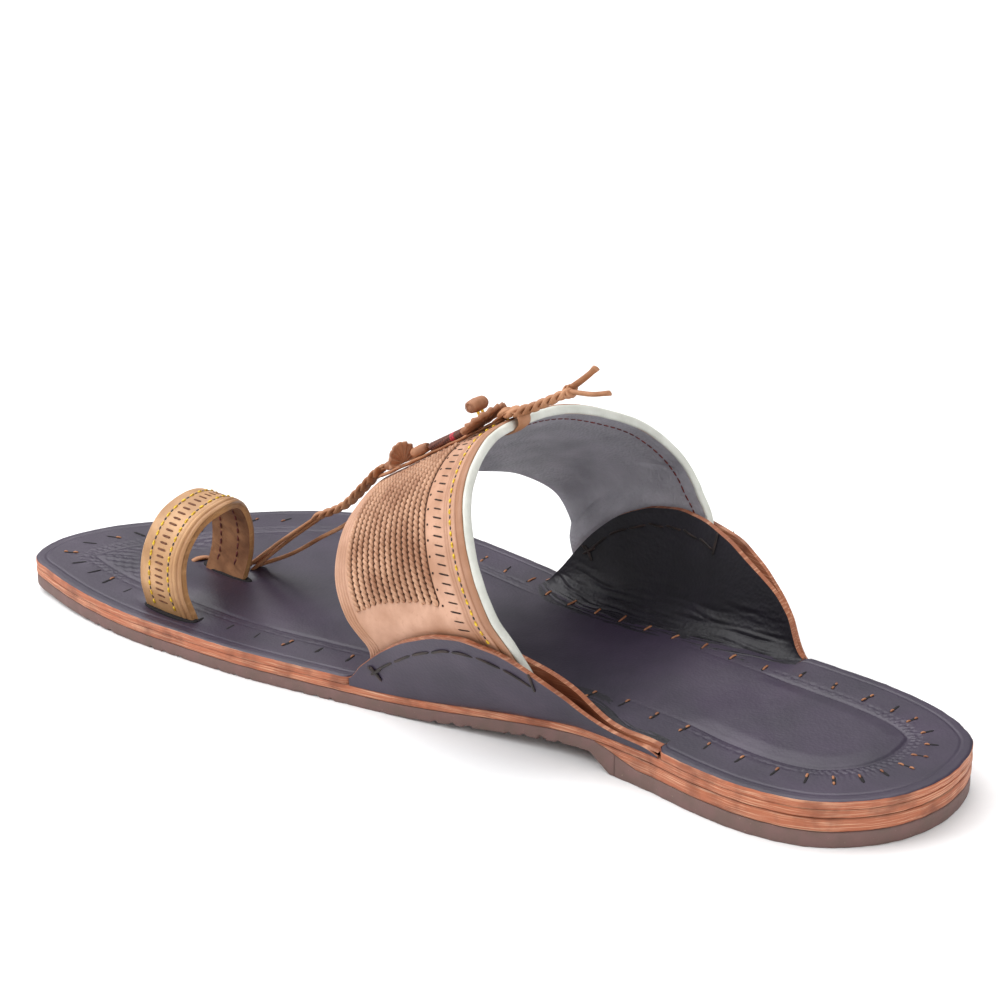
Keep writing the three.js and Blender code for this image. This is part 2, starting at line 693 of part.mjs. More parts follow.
const rearOrnament = ridgeFrame(rearRosette.y);
const flatRosette = addPiece(
  'rosette_rear',
  rosette(rearRosette.radius),
  thongLeather(),
  rearOrnament,
);
flatRosette.position.z = stripTop;
const pinBase = stripTop + rosetteThickness + layerGap;
const buttonPin = addPiece('button_pin', post(pin.radius, pin.length), brass(), rearOrnament);
buttonPin.rotation.x = Math.PI / 2;
buttonPin.position.z = pinBase + pin.length / 2;
const buttonKnot = addPiece('button_knot', bead(button.length, button.radius), thongLeather(), rearOrnament);
buttonKnot.rotation.z = Math.PI / 2;
buttonKnot.position.z = pinBase + pin.length + layerGap + button.radius;

const frontOrnament = ridgeFrame(frontRosette.y);
const standingRosette = addPiece(
  'rosette_front',
  rosette(frontRosette.radius, true),
  thongLeather(),
  frontOrnament,
);
standingRosette.rotation.x = Math.PI / 2 + frontRosette.leanBack;
standingRosette.position.z = stripTop + rosetteThickness * Math.sin(frontRosette.leanBack);

for (const row of beads) {
  const place = ridgeFrame(row.y);
  const mesh = addPiece(row.name, bead(row.length, row.radius), thongLeather(), place);
  mesh.position.z = stripTop + row.radius;
}

group.updateMatrixWorld(true);
const bounds = new THREE.Box3().setFromObject(group, true);
const centre = bounds.getCenter(new THREE.Vector3());
group.position.set(-centre.x, -centre.y, -bounds.min.z);
group.updateMatrixWorld(true);

export default group;
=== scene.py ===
import json
import math

import bmesh
import bpy
import numpy as np
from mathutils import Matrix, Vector, kdtree


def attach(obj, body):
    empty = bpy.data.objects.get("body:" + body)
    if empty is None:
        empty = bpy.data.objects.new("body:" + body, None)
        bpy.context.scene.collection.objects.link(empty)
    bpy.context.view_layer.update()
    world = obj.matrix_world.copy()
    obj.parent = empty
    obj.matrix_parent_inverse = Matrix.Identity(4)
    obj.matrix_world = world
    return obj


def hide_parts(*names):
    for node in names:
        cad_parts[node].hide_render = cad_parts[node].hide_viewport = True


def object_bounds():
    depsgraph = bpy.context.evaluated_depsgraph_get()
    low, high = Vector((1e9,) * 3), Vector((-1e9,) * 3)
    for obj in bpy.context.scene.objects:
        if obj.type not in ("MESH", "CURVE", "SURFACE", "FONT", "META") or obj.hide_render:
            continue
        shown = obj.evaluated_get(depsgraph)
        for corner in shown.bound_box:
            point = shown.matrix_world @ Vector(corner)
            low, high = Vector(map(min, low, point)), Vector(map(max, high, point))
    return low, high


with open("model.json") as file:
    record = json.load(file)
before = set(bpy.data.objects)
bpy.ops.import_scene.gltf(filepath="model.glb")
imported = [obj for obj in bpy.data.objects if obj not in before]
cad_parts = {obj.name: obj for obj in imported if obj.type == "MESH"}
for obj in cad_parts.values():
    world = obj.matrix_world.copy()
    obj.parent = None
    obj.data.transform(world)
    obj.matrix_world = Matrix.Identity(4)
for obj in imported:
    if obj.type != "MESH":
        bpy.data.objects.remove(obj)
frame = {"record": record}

bl_info = {
    "name": "Kolhapuri Sandal",
    "version": (1, 0, 0),
    "blender": (4, 5, 0),
    "location": "View3D > Sidebar > Sandal",
    "description": "Builds a right toe-ring sandal with its leathers, cords, stitches and ornaments",
    "category": "Object",
}

CAD_LOW, CAD_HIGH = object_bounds()
SOLIDS = {part["node"] for part in frame["record"]["subparts"]}
BODY = "root"
MM = 0.001

# ---- places, in millimetres: heel back at y = 0, toe towards +Y, outer side of the foot at +X ----
SOLE_LENGTH = (CAD_HIGH.y - CAD_LOW.y) / MM
FOOTBED_THICKNESS = 2.4
MIDSOLE_THICKNESS = 2.4
HEEL_LIFT_THICKNESS = 3.7
HEEL_RUBBER_THICKNESS = 4.4
FORE_RUBBER_THICKNESS = 3.6
WAIST_START, WAIST_END = 80, 150
TOE_SPRING, TOE_SPRING_START = 2.0, 215
LIFT_SKIVE_START, LIFT_FRONT = 69, 82
BREAST_SEAM, BREAST_FOOT, BREAST_TOP = 75.6, 77.4, 84
SEAM = 0.05  # neighbouring sole layers are pressed together to this
EAR_LEATHER = 1.7
POCKET_CLEARANCE = 0.5
EAR_INSET = EAR_LEATHER + POCKET_CLEARANCE
EAR_EDGE = 1.35  # the ear's leather is pared to this at its rim
STRAP_THICKNESS = 3.0
STRAP_LEAN = 1.15
STRAP_FREE_ABOVE = 9
STRAP_CROWN_HALF_WIDTH = 25
WING_LEATHER = 1.7
WING_FOLD_RADIUS = 8
EAR_REFERENCE_HEIGHT = 22
LEAN_EXPONENT = 0.8
RING_THICKNESS = 2.4
CENTRE_X = -8.5
RIDGE_REAR = np.array([CENTRE_X, 125.6, 78.5])
RIDGE_FRONT = np.array([CENTRE_X, 172.9, 49.0])

# y, medial edge, lateral edge
OUTLINE = [
    (3.2, -12.2, 19.4), (10, -22.4, 26.2), (20, -30.2, 31.0), (35, -34.0, 34.1), (50, -33.8, 34.9),
    (66, -31.8, 35.4), (88, -31.2, 36.6), (110, -34.8, 39.0), (130, -39.0, 42.0), (150, -42.9, 45.2),
    (170, -46.8, 48.0), (190, -50.2, 49.7), (210, -51.9, 47.6), (230, -52.8, 40.4), (250, -51.4, 23.2),
    (266, -48.3, 0.4), (276, -44.9, -16.2),
]
HEEL_BACK = (2.5, 0.0)
TOE_TIP = (-33.5, SOLE_LENGTH)

# y, outer layer's top, turned-up layer's top, outward lean at the reference height
MEDIAL_EAR = [
    (62, 11.6, 13.4, 0.5), (68, 12.2, 13.4, 3.0), (74, 13.0, 13.7, 6.0), (80, 14.6, 14.8, 8.0),
    (85, 17.6, 17.6, 9.5), (90, 22.2, 21.4, 10.8), (95, 27.2, 24.4, 11.5), (102, 31.8, 27.8, 11.7),
    (112, 33.8, 30.6, 11.3), (122, 31.6, 29.6, 9.6), (134, 25.6, 24.4, 6.4), (143, 19.2, 18.2, 3.6),
    (150, 12.8, 12.6, 1.2), (154, 8.4, 9.0, 0.5),
]
LATERAL_EAR = [
    (60.5, 13.4, 14.4, 1.0), (65, 19.6, 20.9, 3.2), (72, 26.0, 27.2, 5.8), (80, 30.8, 31.2, 8.0),
    (90, 34.2, 35.8, 10.6), (100, 35.4, 38.4, 11.4), (110, 36.2, 39.2, 11.0), (120, 35.2, 37.3, 9.8),
    (130, 31.6, 32.6, 8.2), (138, 26.6, 24.9, 6.4), (144, 19.2, 15.8, 4.6), (148, 13.0, 10.4, 3.4),
    (151, 9.2, 9.0, 2.8),
]

# outer face of the strap: rear rim and front rim, from the medial foot over the ridge to the lateral
STRAP = [
    ((-37, 97.0, 19.0), (-41, 148.6, 11.6)), ((-41, 98.6, 27.4), (-42, 148.8, 17.5)),
    ((-46.9, 103.2, 41.0), (-42.2, 156.0, 24.5)), ((-45.6, 110.9, 55.2), (-38.9, 162.6, 32.8)),
    ((-37.0, 119.5, 68.6), (-29.6, 168.3, 41.4)), ((-22.0, 124.6, 77.1), (-18.5, 171.2, 46.4)),
    ((-6.0, 125.6, 78.5), (-6.0, 172.9, 49.0)), ((12.0, 124.6, 76.8), (11.5, 171.8, 48.0)),
    ((28.0, 121.4, 71.2), (28.0, 168.6, 44.2)), ((41.0, 117.0, 63.8), (43.3, 164.0, 39.4)),
    ((49.9, 110.2, 52.0), (52.6, 157.4, 31.6)), ((48.6, 101.4, 38.2), (49.0, 146.6, 20.8)),
    ((43.0, 97.0, 25.0), (44.5, 142.0, 12.6)),
]
# x, z, rear y, front y of the toe ring's outer face
RING = [
    (-45.2, 7.8, 211.0, 229.4), (-46.7, 16.5, 213.0, 229.8), (-44.9, 26.5, 214.0, 229.6),
    (-38.6, 35.2, 212.8, 228.6), (-29.6, 38.9, 211.0, 226.8), (-20.4, 35.6, 213.6, 228.0),
    (-14.8, 26.5, 215.6, 230.6), (-13.4, 16.5, 217.4, 232.2), (-14.2, 7.8, 219.6, 234.4),
]
TOE_POST = (CENTRE_X, 223.5, 9.4)
# y and z of the plaits' middle lines
PLAIT_FRONT = [(CENTRE_X, y, z) for y, z in ((197, 31.6), (186, 38.0), (178.2, 45.8), (171.8, 52.9))]
PLAIT_REAR = [(CENTRE_X, y, z) for y, z in ((129.8, 78.5), (122.6, 80.9), (115.6, 84.7), (107.0, 89.9))]
TAILS = {
    "plait_tail_long": [(-8.2, 108.4, 89.8), (-7.9, 105.8, 92.0), (-8.2, 103.0, 94.4), (-8.8, 99.6, 97.6)],
    "plait_tail_short": [(-9.0, 108.0, 89.4), (-9.6, 104.6, 90.0), (-9.2, 100.6, 90.4), (-8.6, 95.2, 91.8)],
}
REAR_ROSETTE_Y, FRONT_ROSETTE_Y = 134.6, 163.4
BEAD_FRONT_Y, BEAD_REAR_Y = 167.4, 156.6


# ---- numbers ----
def smooth(low, high, value):
    """0 below low, 1 above high, with a smooth rise between."""
    t = np.clip((np.asarray(value, float) - low) / (high - low), 0, 1)
    return t * t * (3 - 2 * t)


def bump_at(value, centre, half_width):
    """A soft ridge of height 1 at centre."""
    return np.exp(-(((value - centre) / half_width) ** 2))


def unit(vectors):
    """The vectors at length 1."""
    return vectors / np.maximum(np.linalg.norm(vectors, axis=-1, keepdims=True), 1e-12)


def wobble(along, seed, wavelength, octaves=3):
    """A smooth, repeatable unevenness between about -1 and 1, of the given wavelength."""
    random = np.random.default_rng(seed)
    total = np.zeros_like(np.asarray(along, float))
    for octave in range(octaves):
        for _ in range(3):
            stretch = random.uniform(0.7, 1.4) * 2 ** octave
            phase = random.uniform(0, 2 * math.pi)
            total += np.sin(2 * math.pi * along * stretch / wavelength + phase) / 2 ** octave
    return total / 3.2


def profile(rows, column, ease=2.0):
    """A function of y through a table's column, with its corners eased over a few millimetres."""
    step = 0.5
    ys = np.arange(rows[0][0] - 12, rows[-1][0] + 12, step)
    values = np.interp(ys, [row[0] for row in rows], [row[column] for row in rows])
    reach = int(3 * ease / step)
    weights = np.exp(-0.5 * (np.arange(-reach, reach + 1) * step / ease) ** 2)
    padded = np.pad(values, reach, mode="edge")
    eased = np.convolve(padded, weights / weights.sum(), mode="valid")
    return lambda y: np.interp(y, ys, eased)


def spline(points, samples, closed=False):
    """Centripetal Catmull-Rom curve through the points, evenly stepped between each two."""
    p = np.asarray(points, float)
    spans = len(p) if closed else len(p) - 1
    if closed:
        ringed = np.vstack([p[-1], p, p[0], p[1]])
    else:
        ringed = np.vstack([2 * p[0] - p[1], p, 2 * p[-1] - p[-2]])
    t = np.linspace(0, spans, samples + 1)
    if closed:
        t = t[:-1]
    span = np.minimum(t.astype(int), spans - 1)
    w = (t - span)[:, None]
    a, b, c, d = (ringed[span + i] for i in range(4))
    chords = (b - a, c - b, d - c)
    d0, d1, d2 = (np.maximum(np.linalg.norm(v, axis=1, keepdims=True) ** 0.5, 1e-6) for v in chords)
    m1 = ((b - a) / d0 - (c - a) / (d0 + d1) + (c - b) / d1) * d1
    m2 = ((c - b) / d1 - (d - b) / (d1 + d2) + (d - c) / d2) * d1
    leaving, arriving = 2 * w**3 - 3 * w**2 + 1, 3 * w**2 - 2 * w**3
    return leaving * b + (w**3 - 2 * w**2 + w) * m1 + arriving * c + (w**3 - w**2) * m2


def arc_lengths(points):
    """Length along a line of points, up to each of them."""
    return np.concatenate([[0], np.cumsum(np.linalg.norm(np.diff(points, axis=0), axis=1))])


def at_lengths(points, lengths, *others):
    """The points, and other rows that go with them, at the given lengths along their line."""
    run = arc_lengths(points)
    found = [np.stack([np.interp(lengths, run, rows[:, i]) for i in range(rows.shape[1])], 1)
             for rows in (points, *others)]
    return found if others else found[0]


# ---- heights of the sole ----
HEEL_HEIGHT = HEEL_RUBBER_THICKNESS + HEEL_LIFT_THICKNESS + MIDSOLE_THICKNESS + FOOTBED_THICKNESS
BALL_HEIGHT = FORE_RUBBER_THICKNESS + MIDSOLE_THICKNESS + FOOTBED_THICKNESS


def footbed_top(y):
    spring = TOE_SPRING * np.clip((y - TOE_SPRING_START) / (SOLE_LENGTH - TOE_SPRING_START), 0, 1) ** 2
    return HEEL_HEIGHT + (BALL_HEIGHT - HEEL_HEIGHT) * smooth(WAIST_START, WAIST_END, y) + spring


def midsole_top(y):
    return footbed_top(y) - FOOTBED_THICKNESS


def midsole_bottom(y):
    return midsole_top(y) - MIDSOLE_THICKNESS


def lift_bottom(y):
    rise = np.clip((y - LIFT_SKIVE_START) / (LIFT_FRONT - LIFT_SKIVE_START), 0, 1)
    return HEEL_RUBBER_THICKNESS + (midsole_bottom(y) - SEAM * 2 - HEEL_RUBBER_THICKNESS) * rise


def rubber_top(y):
    return np.where(y <= LIFT_FRONT, lift_bottom(y), midsole_bottom(y)) - SEAM


def outsole_bottom(y):
    worn = np.clip((y - BREAST_FOOT) / (BREAST_TOP - BREAST_FOOT), 0, 1)
    raised = midsole_bottom(y) - FORE_RUBBER_THICKNESS
    return np.maximum(0, np.where(y < BREAST_TOP, raised * worn, raised))


# ---- the sole's plan: its edge, and the middle line that each place on the edge looks to ----
EDGE_STEPS = 1440
MEDIAL_EDGE = profile(OUTLINE, 1, ease=1.0)
LATERAL_EDGE = profile(OUTLINE, 2, ease=1.0)
SPINE_HEEL, SPINE_TOE = 30, 246


def sole_edge():
    lateral = [(row[2], row[0]) for row in OUTLINE]
    medial = [(row[1], row[0]) for row in reversed(OUTLINE)]
    return spline([HEEL_BACK, *lateral, TOE_TIP, *medial], EDGE_STEPS, closed=True)


EDGE = sole_edge()
OPPOSITE = EDGE[(-np.arange(EDGE_STEPS)) % EDGE_STEPS]
SPINE_Y = np.clip((EDGE[:, 1] + OPPOSITE[:, 1]) / 2, SPINE_HEEL, SPINE_TOE)
SPINE = np.stack([(MEDIAL_EDGE(SPINE_Y) + LATERAL_EDGE(SPINE_Y)) / 2, SPINE_Y], 1)
INWARD = unit(SPINE - EDGE)
REACH = np.linalg.norm(SPINE - EDGE, axis=1)
EDGE_RUN = arc_lengths(np.vstack([EDGE, EDGE[:1]]))


def edge_tree():
    """The points of the sole's edge, for finding the one nearest to a place."""
    tree = kdtree.KDTree(EDGE_STEPS)
    for step, (x, y) in enumerate(EDGE):
        tree.insert((x, y, 0), step)
    tree.balance()
    return tree


EDGE_TREE = edge_tree()


def ear_cover(y, x):
    """1 where an ear stands on the sole's edge, 0 elsewhere."""
    sides = []
    for rows in (MEDIAL_EAR, LATERAL_EAR):
        start, end = rows[0][0], rows[-1][0]
        sides.append(smooth(start - 1.5, start + 1.5, y) * (1 - smooth(end - 1.5, end + 1.5, y)))
    return np.where(x < 0, *sides)


# ---- making meshes ----
def to_frame(points):
    """Millimetres from the heel back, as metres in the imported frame."""
    return np.asarray(points, float) * MM + np.array([0, CAD_LOW.y, CAD_LOW.z])


def make_piece(name, parts, finishes, bevel=None, marks=None):
    """Joins parts, each (points, faces, finish of each face or None), into one piece of the sandal. A piece
    that has the name of a solid replaces it, and marks says how burnished each point is; on the sole layers
    the marks are painted shade along the seams between them."""
    points, faces, kinds = [], [], []
    offset = 0
    for part_points, part_faces, part_kinds in parts:
        points.append(np.asarray(part_points, float))
        faces.extend([tuple(int(i) + offset for i in face) for face in part_faces])
        kinds.extend(part_kinds if part_kinds is not None else [0] * len(part_faces))
        offset += len(part_points)
    mesh = bpy.data.meshes.new(name)
    mesh.from_pydata(to_frame(np.vstack(points)).tolist(), [], faces)
    mesh.polygons.foreach_set("material_index", kinds)
    if marks is not None:
        layer = mesh.attributes.new("burnish", "FLOAT", "POINT")
        layer.data.foreach_set("value", np.asarray(marks, np.float32))
    work = bmesh.new()
    work.from_mesh(mesh)
    bmesh.ops.recalc_face_normals(work, faces=work.faces)
    work.to_mesh(mesh)
    work.free()
    mesh.shade_smooth()
    piece = bpy.data.objects.new(name, mesh)
    bpy.context.scene.collection.objects.link(piece)
    for finish in finishes:
        mesh.materials.append(finish_named(finish))
    if bevel:
        edge = piece.modifiers.new("eased_edges", "BEVEL")
        edge.width, edge.segments = bevel * MM, 2
        edge.limit_method, edge.angle_limit = "ANGLE", math.radians(50)
        edge.harden_normals = True
    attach(piece, BODY)
    if name in SOLIDS:
        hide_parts(name)
    return piece


def grid_faces(rows, columns, start=0, wrap=False):
    """Quads of a grid of points; wrap closes its columns into rings."""
    faces = []
    last = columns if wrap else columns - 1
    for j in range(rows - 1):
        for k in range(last):
            n = (k + 1) % columns
            a, b = start + j * columns, start + (j + 1) * columns
            faces.append((a + k, b + k, b + n, a + n))
    return faces


FACE, BACK, RIM = 0, 1, 2


def sheet(face, back):
    """One closed leather sheet between two grids of points: its face, its back and its cut rim."""
    rows, columns = face.shape[:2]
    count = rows * columns
    points = np.vstack([face.reshape(-1, 3), back.reshape(-1, 3)])
    faces = grid_faces(rows, columns)
    kinds = [FACE] * len(faces)
    faces += [quad[::-1] for quad in grid_faces(rows, columns, count)]
    kinds += [BACK] * (len(faces) - len(kinds))
    around = list(range(columns - 1))
    around += [j * columns + columns - 1 for j in range(rows - 1)]
    around += [(rows - 1) * columns + k for k in range(columns - 1, 0, -1)]
    around += [j * columns for j in range(rows - 1, 0, -1)]
    for i, a in enumerate(around):
        b = around[(i + 1) % len(around)]
        faces.append((a, b, b + count, a + count))
        kinds.append(RIM)
    return points, faces, kinds


def grid_normals(grid):
    """Unit normals of a grid of points, all on one side."""
    return unit(np.cross(np.gradient(grid, axis=0), np.gradient(grid, axis=1)))


def sweep(path, up, half_width, half_height, sides=8, ends=0.0):
    """A closed strand of oval section along a path, with its height towards up. Each end rounds off over
    the length that ends gives."""
    path = np.asarray(path, float)
    up = np.broadcast_to(np.asarray(up, float), path.shape)
    along = unit(np.gradient(path, axis=0))
    across = unit(np.cross(along, up))
    above = np.cross(across, along)
    run = arc_lengths(path)
    size = np.ones(len(path))
    if ends:
        near = np.minimum(run, run[-1] - run) / ends
        size = np.sqrt(np.clip(1 - (1 - np.clip(near, 0.03, 1)) ** 2, 0, 1))
    angle = np.arange(sides) / sides * 2 * math.pi
    wide = (np.broadcast_to(half_width, len(path)) * size)[:, None] * np.cos(angle)
    high = (np.broadcast_to(half_height, len(path)) * size)[:, None] * np.sin(angle)
    rings = path[:, None] + wide[..., None] * across[:, None] + high[..., None] * above[:, None]
    points = np.vstack([rings.reshape(-1, 3), path[:1], path[-1:]])
    faces = grid_faces(len(path), sides, wrap=True)
    first, last = len(points) - 2, len(points) - 1
    base = (len(path) - 1) * sides
    for k in range(sides):
        n = (k + 1) % sides
        faces.append((first, k, n))
        faces.append((last, base + n, base + k))
    return points, faces, None


# ---- materials ----
def linear(code):
    """An sRGB hex colour as linear red, green, blue and alpha."""
    channel_shadows = [int(code[i:i + 2], 16) / 255 for i in (1, 3, 5)]
    return (*[c / 12.92 if c <= 0.04045 else ((c + 0.055) / 1.055) ** 2.4 for c in channel_shadows], 1.0)


def node(tree, kind, inputs=None, **settings):
    """Adds one node with its settings, and sets or links its inputs."""
    made = tree.nodes.new(kind)
    for name, value in settings.items():
        setattr(made, name, value)
    for socket, value in (inputs or {}).items():
        if isinstance(value, bpy.types.NodeSocket):
            tree.links.new(value, made.inputs[socket])
        else:
            made.inputs[socket].default_value = value
    return made


def per_mm(size):
    """Texture scale, in turns per metre, of a pattern whose repeat is size millimetres."""
    return 1 / (size * MM)


def start_material(name, **sockets):
    """A new material, its tree, its shader with the given sockets, and the object coordinates."""
    material = bpy.data.materials.new(name)
    material.use_nodes = True
    tree = material.node_tree
    shader = tree.nodes["Principled BSDF"]
    for socket, value in sockets.items():
        shader.inputs[socket.replace("_", " ")].default_value = value
    place = node(tree, "ShaderNodeTexCoord").outputs["Object"]
    return material, tree, shader, place


def blend_colours(tree, factor, first, second):
    """A colour socket between two colours or colour sockets."""
    return node(tree, "ShaderNodeMix", {0: factor, 6: first, 7: second}, data_type="RGBA").outputs[2]


def spread(tree, value, low, high, to_low=0.0, to_high=1.0):
    """A value from low to high, stretched to run from to_low to to_high."""
    inputs = {0: value, 1: low, 2: high, 3: to_low, 4: to_high}
    return node(tree, "ShaderNodeMapRange", inputs).outputs[0]


def noise(tree, place, size, detail=2.0):
    """Cloudy noise with features about size millimetres across."""
    inputs = {"Vector": place, "Scale": per_mm(size), "Detail": detail}
    return node(tree, "ShaderNodeTexNoise", inputs).outputs[0]


def raise_surface(tree, shader, height, strength, depth):
    """Roughens a surface by a height, up to depth millimetres."""
    bump = node(tree, "ShaderNodeBump", {"Strength": strength, "Distance": depth * MM, "Height": height})
    tree.links.new(bump.outputs[0], shader.inputs["Normal"])


def burnish(tree):
    """How burnished the leather is at a place, and on the sole layers' edges the painted shade along their
    seams.
    """
    return node(tree, "ShaderNodeAttribute", attribute_name="burnish").outputs["Fac"]


def smooth_leather(name, colour, shade, grain, roughness, relief=0.06, mottle=22, **sockets):
    """Drum-dyed, plated leather: fine pebbled grain with pores, and cloudy dye. Sizes in millimetres."""
    material, tree, shader, place = start_material(name, Roughness=roughness, **sockets)
    cloud = noise(tree, place, mottle, 5.0)
    dyed = blend_colours(tree, spread(tree, cloud, 0.35, 0.68), shade, colour)
    tree.links.new(dyed, shader.inputs["Base Color"])
    cells = node(tree, "ShaderNodeTexVoronoi", {"Vector": place, "Scale": per_mm(grain)})
    wrinkle = noise(tree, place, grain * 3, 4.0)
    height = node(tree, "ShaderNodeMath", {0: cells.outputs[0], 1: wrinkle}, operation="ADD")
    raise_surface(tree, shader, height.outputs[0], 0.55, relief)
    gloss = spread(tree, cloud, 0.3, 0.7, roughness + 0.07, roughness - 0.05)
    tree.links.new(gloss, shader.inputs["Roughness"])
    return material


def natural_leather(name, colour, shade, burnt, roughness):
    """Vegetable-tanned cowhide: pale tan with darker flecks, browned where it is burnished."""
    material, tree, shader, place = start_material(name, Roughness=roughness)
    dye = spread(tree, noise(tree, place, 9, 6.0), 0.36, 0.66)
    speck = spread(tree, noise(tree, place, 1.1, 3.0), 0.56, 0.74, 0.0, 0.5)
    flecked = blend_colours(tree, speck, blend_colours(tree, dye, shade, colour), shade)
    tree.links.new(blend_colours(tree, burnish(tree), flecked, burnt), shader.inputs["Base Color"])
    raise_surface(tree, shader, noise(tree, place, 0.5, 4.0), 0.5, 0.08)
    return material


def cut_edge(name, pale, tan, dark, layer, roughness=0.6):
    """A knife-cut, burnished leather edge: fibres and layers of that thickness run along it as streaks."""
    material, tree, shader, place = start_material(name, Roughness=roughness)
    stretch = node(tree, "ShaderNodeMapping", {"Vector": place, "Scale": (90, 90, per_mm(layer))})
    inputs = {"Vector": stretch.outputs[0], "Scale": 1.0, "Detail": 5.0}
    streaks = node(tree, "ShaderNodeTexNoise", inputs).outputs[0]
    stain = spread(tree, noise(tree, place, 7, 4.0), 0.46, 0.7, 0.0, 0.75)
    fibres = blend_colours(tree, spread(tree, streaks, 0.5, 0.66), tan, pale)
    stained = blend_colours(tree, stain, fibres, dark)
    # Where points are marked the edge darkens: real burnish on the strap and toe ring, painted shade along
    # the seams between the sole layers.
    seam = blend_colours(tree, burnish(tree), stained, linear("#3a2018"))
    tree.links.new(seam, shader.inputs["Base Color"])
    raise_surface(tree, shader, streaks, 0.6, 0.12)
    return material


def sheet_rubber(name, colour, shade):
    """Knife-cut sheet rubber: matt and even, with a fine drag texture and pale specks."""
    material, tree, shader, place = start_material(name, Roughness=0.62)
    cloud = spread(tree, noise(tree, place, 5, 6.0), 0.35, 0.65)
    dust = noise(tree, place, 0.8)
    specks = spread(tree, dust, 0.7, 0.78, 0.0, 0.35)
    speckled = blend_colours(tree, specks, blend_colours(tree, cloud, shade, colour), linear("#b9a791"))
    tree.links.new(speckled, shader.inputs["Base Color"])
    raise_surface(tree, shader, dust, 0.5, 0.1)
    return material


def thread(name, colour, shade, roughness, lay=0.5, **sockets):
    """Twisted thread or thong: its lay, in millimetres, shows as fine slanting bands."""
    material, tree, shader, place = start_material(name, Roughness=roughness, **sockets)
    inputs = {"Vector": place, "Scale": per_mm(lay) / 6, "Distortion": 3.0}
    bands = node(tree, "ShaderNodeTexWave", inputs, bands_direction="DIAGONAL").outputs[1]
    tree.links.new(blend_colours(tree, bands, shade, colour), shader.inputs["Base Color"])
    raise_surface(tree, shader, bands, 0.4, 0.06)
    return material


def polished_metal(name, colour, roughness):
    """Drawn wire, polished: warm mirror gloss with faint scratches."""
    sockets = {"Metallic": 1.0, "Roughness": roughness, "Base_Color": colour}
    material, tree, shader, place = start_material(name, **sockets)
    raise_surface(tree, shader, noise(tree, place, 0.4), 0.2, 0.02)
    return material


# A row gives the maker, the colours as codes or as names of the add-on's colours, and the maker's numbers.
FINISHES = {
    # Smooth plated leather: a soft, slightly violet sheen over near-black plum.
    "plum_plated_leather": (
        smooth_leather, "plum", "#272030", 0.9, 0.44, {"Coat_Weight": 0.06, "Coat_Roughness": 0.35}),
    # The same leather where it folds up: creased and duller, with its colour darkened as painted shade for
    # the shadow inside the ears.
    "folded_plum_leather": (smooth_leather, "#1b1722", "#121017", 1.0, 0.5, 0.16, 16),
    # Natural cowhide: warm and satin, so that every cord and slit casts a small shadow.
    "veg_tan_leather": (natural_leather, "tan", "#ae8064", "#875634", 0.52),
    # Natural cowhide with a yellower wax, on the toe ring.
    "golden_veg_tan_leather": (natural_leather, "#c3976c", "#a47a52", "#80532f", 0.5),
    # Twisted split-leather cord: a shade browner than the strap.
    "twisted_cord_leather": (natural_leather, "#c69a7c", "#9c6d50", "#6b4128", 0.6),
    # Suede side of the toe ring's inner layer: matt brown.
    "suede_backing": (natural_leather, "#9a6c4a", "#6e452b", "#5a3620", 0.9),
    # Oiled thongs: warm brown, darker in the folds.
    "oiled_thong": (natural_leather, "thong", "#95623f", "#5c3420", 0.6),
    # Sewing thong of the footbed, dulled by dye.
    "lacing_thong": (natural_leather, "#a9714c", "#7c4c31", "#5c3420", 0.65),
    # Thick leather of the rosettes and rolls: redder and darker than the thongs.
    "ornament_leather": (natural_leather, "#b4805f", "#865539", "#643a24", 0.62),
    # Burnished sole edge: orange-tan streaks, paler where the fibres are raised.
    "burnished_sole_edge": (cut_edge, "#cf9d7e", "edge", "#6e3a24", 0.22),
    # Cut edge of the ears: dry pinkish tan.
    "raw_ear_edge": (cut_edge, "#bb8668", "#96593c", "#6e3d2a", 0.3),
    # Cut edge of the strap and toe ring: golden brown, waxed.
    "waxed_strap_edge": (cut_edge, "#b98c60", "#a87a4e", "#8a6240", 1.2, 0.45),
    # Grained split lining: cool grey with a dry, pebbled face.
    "grained_lining": (smooth_leather, "lining", "#98969d", 0.9, 0.6, 0.34, 9),
    # Rolled piping: off-white kid, faintly creased.
    "cream_piping": (smooth_leather, "#d9dad2", "#c3c4bb", 0.8, 0.5, 0.1, 8),
    # Knife-cut sheet rubber: matt red-brown taupe.
    "knife_cut_rubber": (sheet_rubber, "rubber", "#68524b"),
    # Metallised yarn: small bright gold stitches.
    "gold_thread": (thread, "#e3c233", "#b8902a", 0.32, {"Metallic": 0.35}),
    # Painted shadow in the stitch holes: near black, in the look of waxed thread.
    "black_thread": (thread, "#2b1c14", "#170e0a", 0.5),
    # Oxblood thread of the inner seams.
    "oxblood_thread": (thread, "#6d2a26", "#4a1a18", 0.6),
    # Bright red wrapping thread.
    "red_thread": (thread, "#c02a3c", "#8e1c2c", 0.5),
    # Dark waxed thong that sews the ears.
    "dark_thong": (thread, "#2e201c", "#1a110e", 0.55, 1.4),
    # Wrapped thong between the ornaments: dark red-brown.
    "wrapping_thong": (thread, "#6f3a28", "#4a2218", 0.6),
    # Shadowed inside of a knife slit in tan leather: matt and almost black.
    "slit_shadow": (thread, "#3a2114", "#22130c", 0.9),
    # The same in plum leather: cooler and blacker.
    "slit_shadow_plum": (thread, "#181216", "#0d090c", 0.9),
    # Painted shadow on the strap between the cords: dark, so each cord stands clear of the next.
    "cord_shadow": (thread, "#5b3823", "#3e2416", 0.9),
    # Painted shade in a punched slit with its flap pressed in: mid brown, not open right through.
    "punched_slit": (thread, "#74492f", "#55321f", 0.85),
    # Polished brass wire: warm mirror gloss under the button.
    "polished_brass": (polished_metal, "#d8ab3f", 0.22),
}


def colour_of(text):
    """The colour of a code, or of one of the add-on's colours by its name."""
    if text.startswith("#"):
        return linear(text)
    return tuple(getattr(bpy.context.scene.sandal.colours, text))


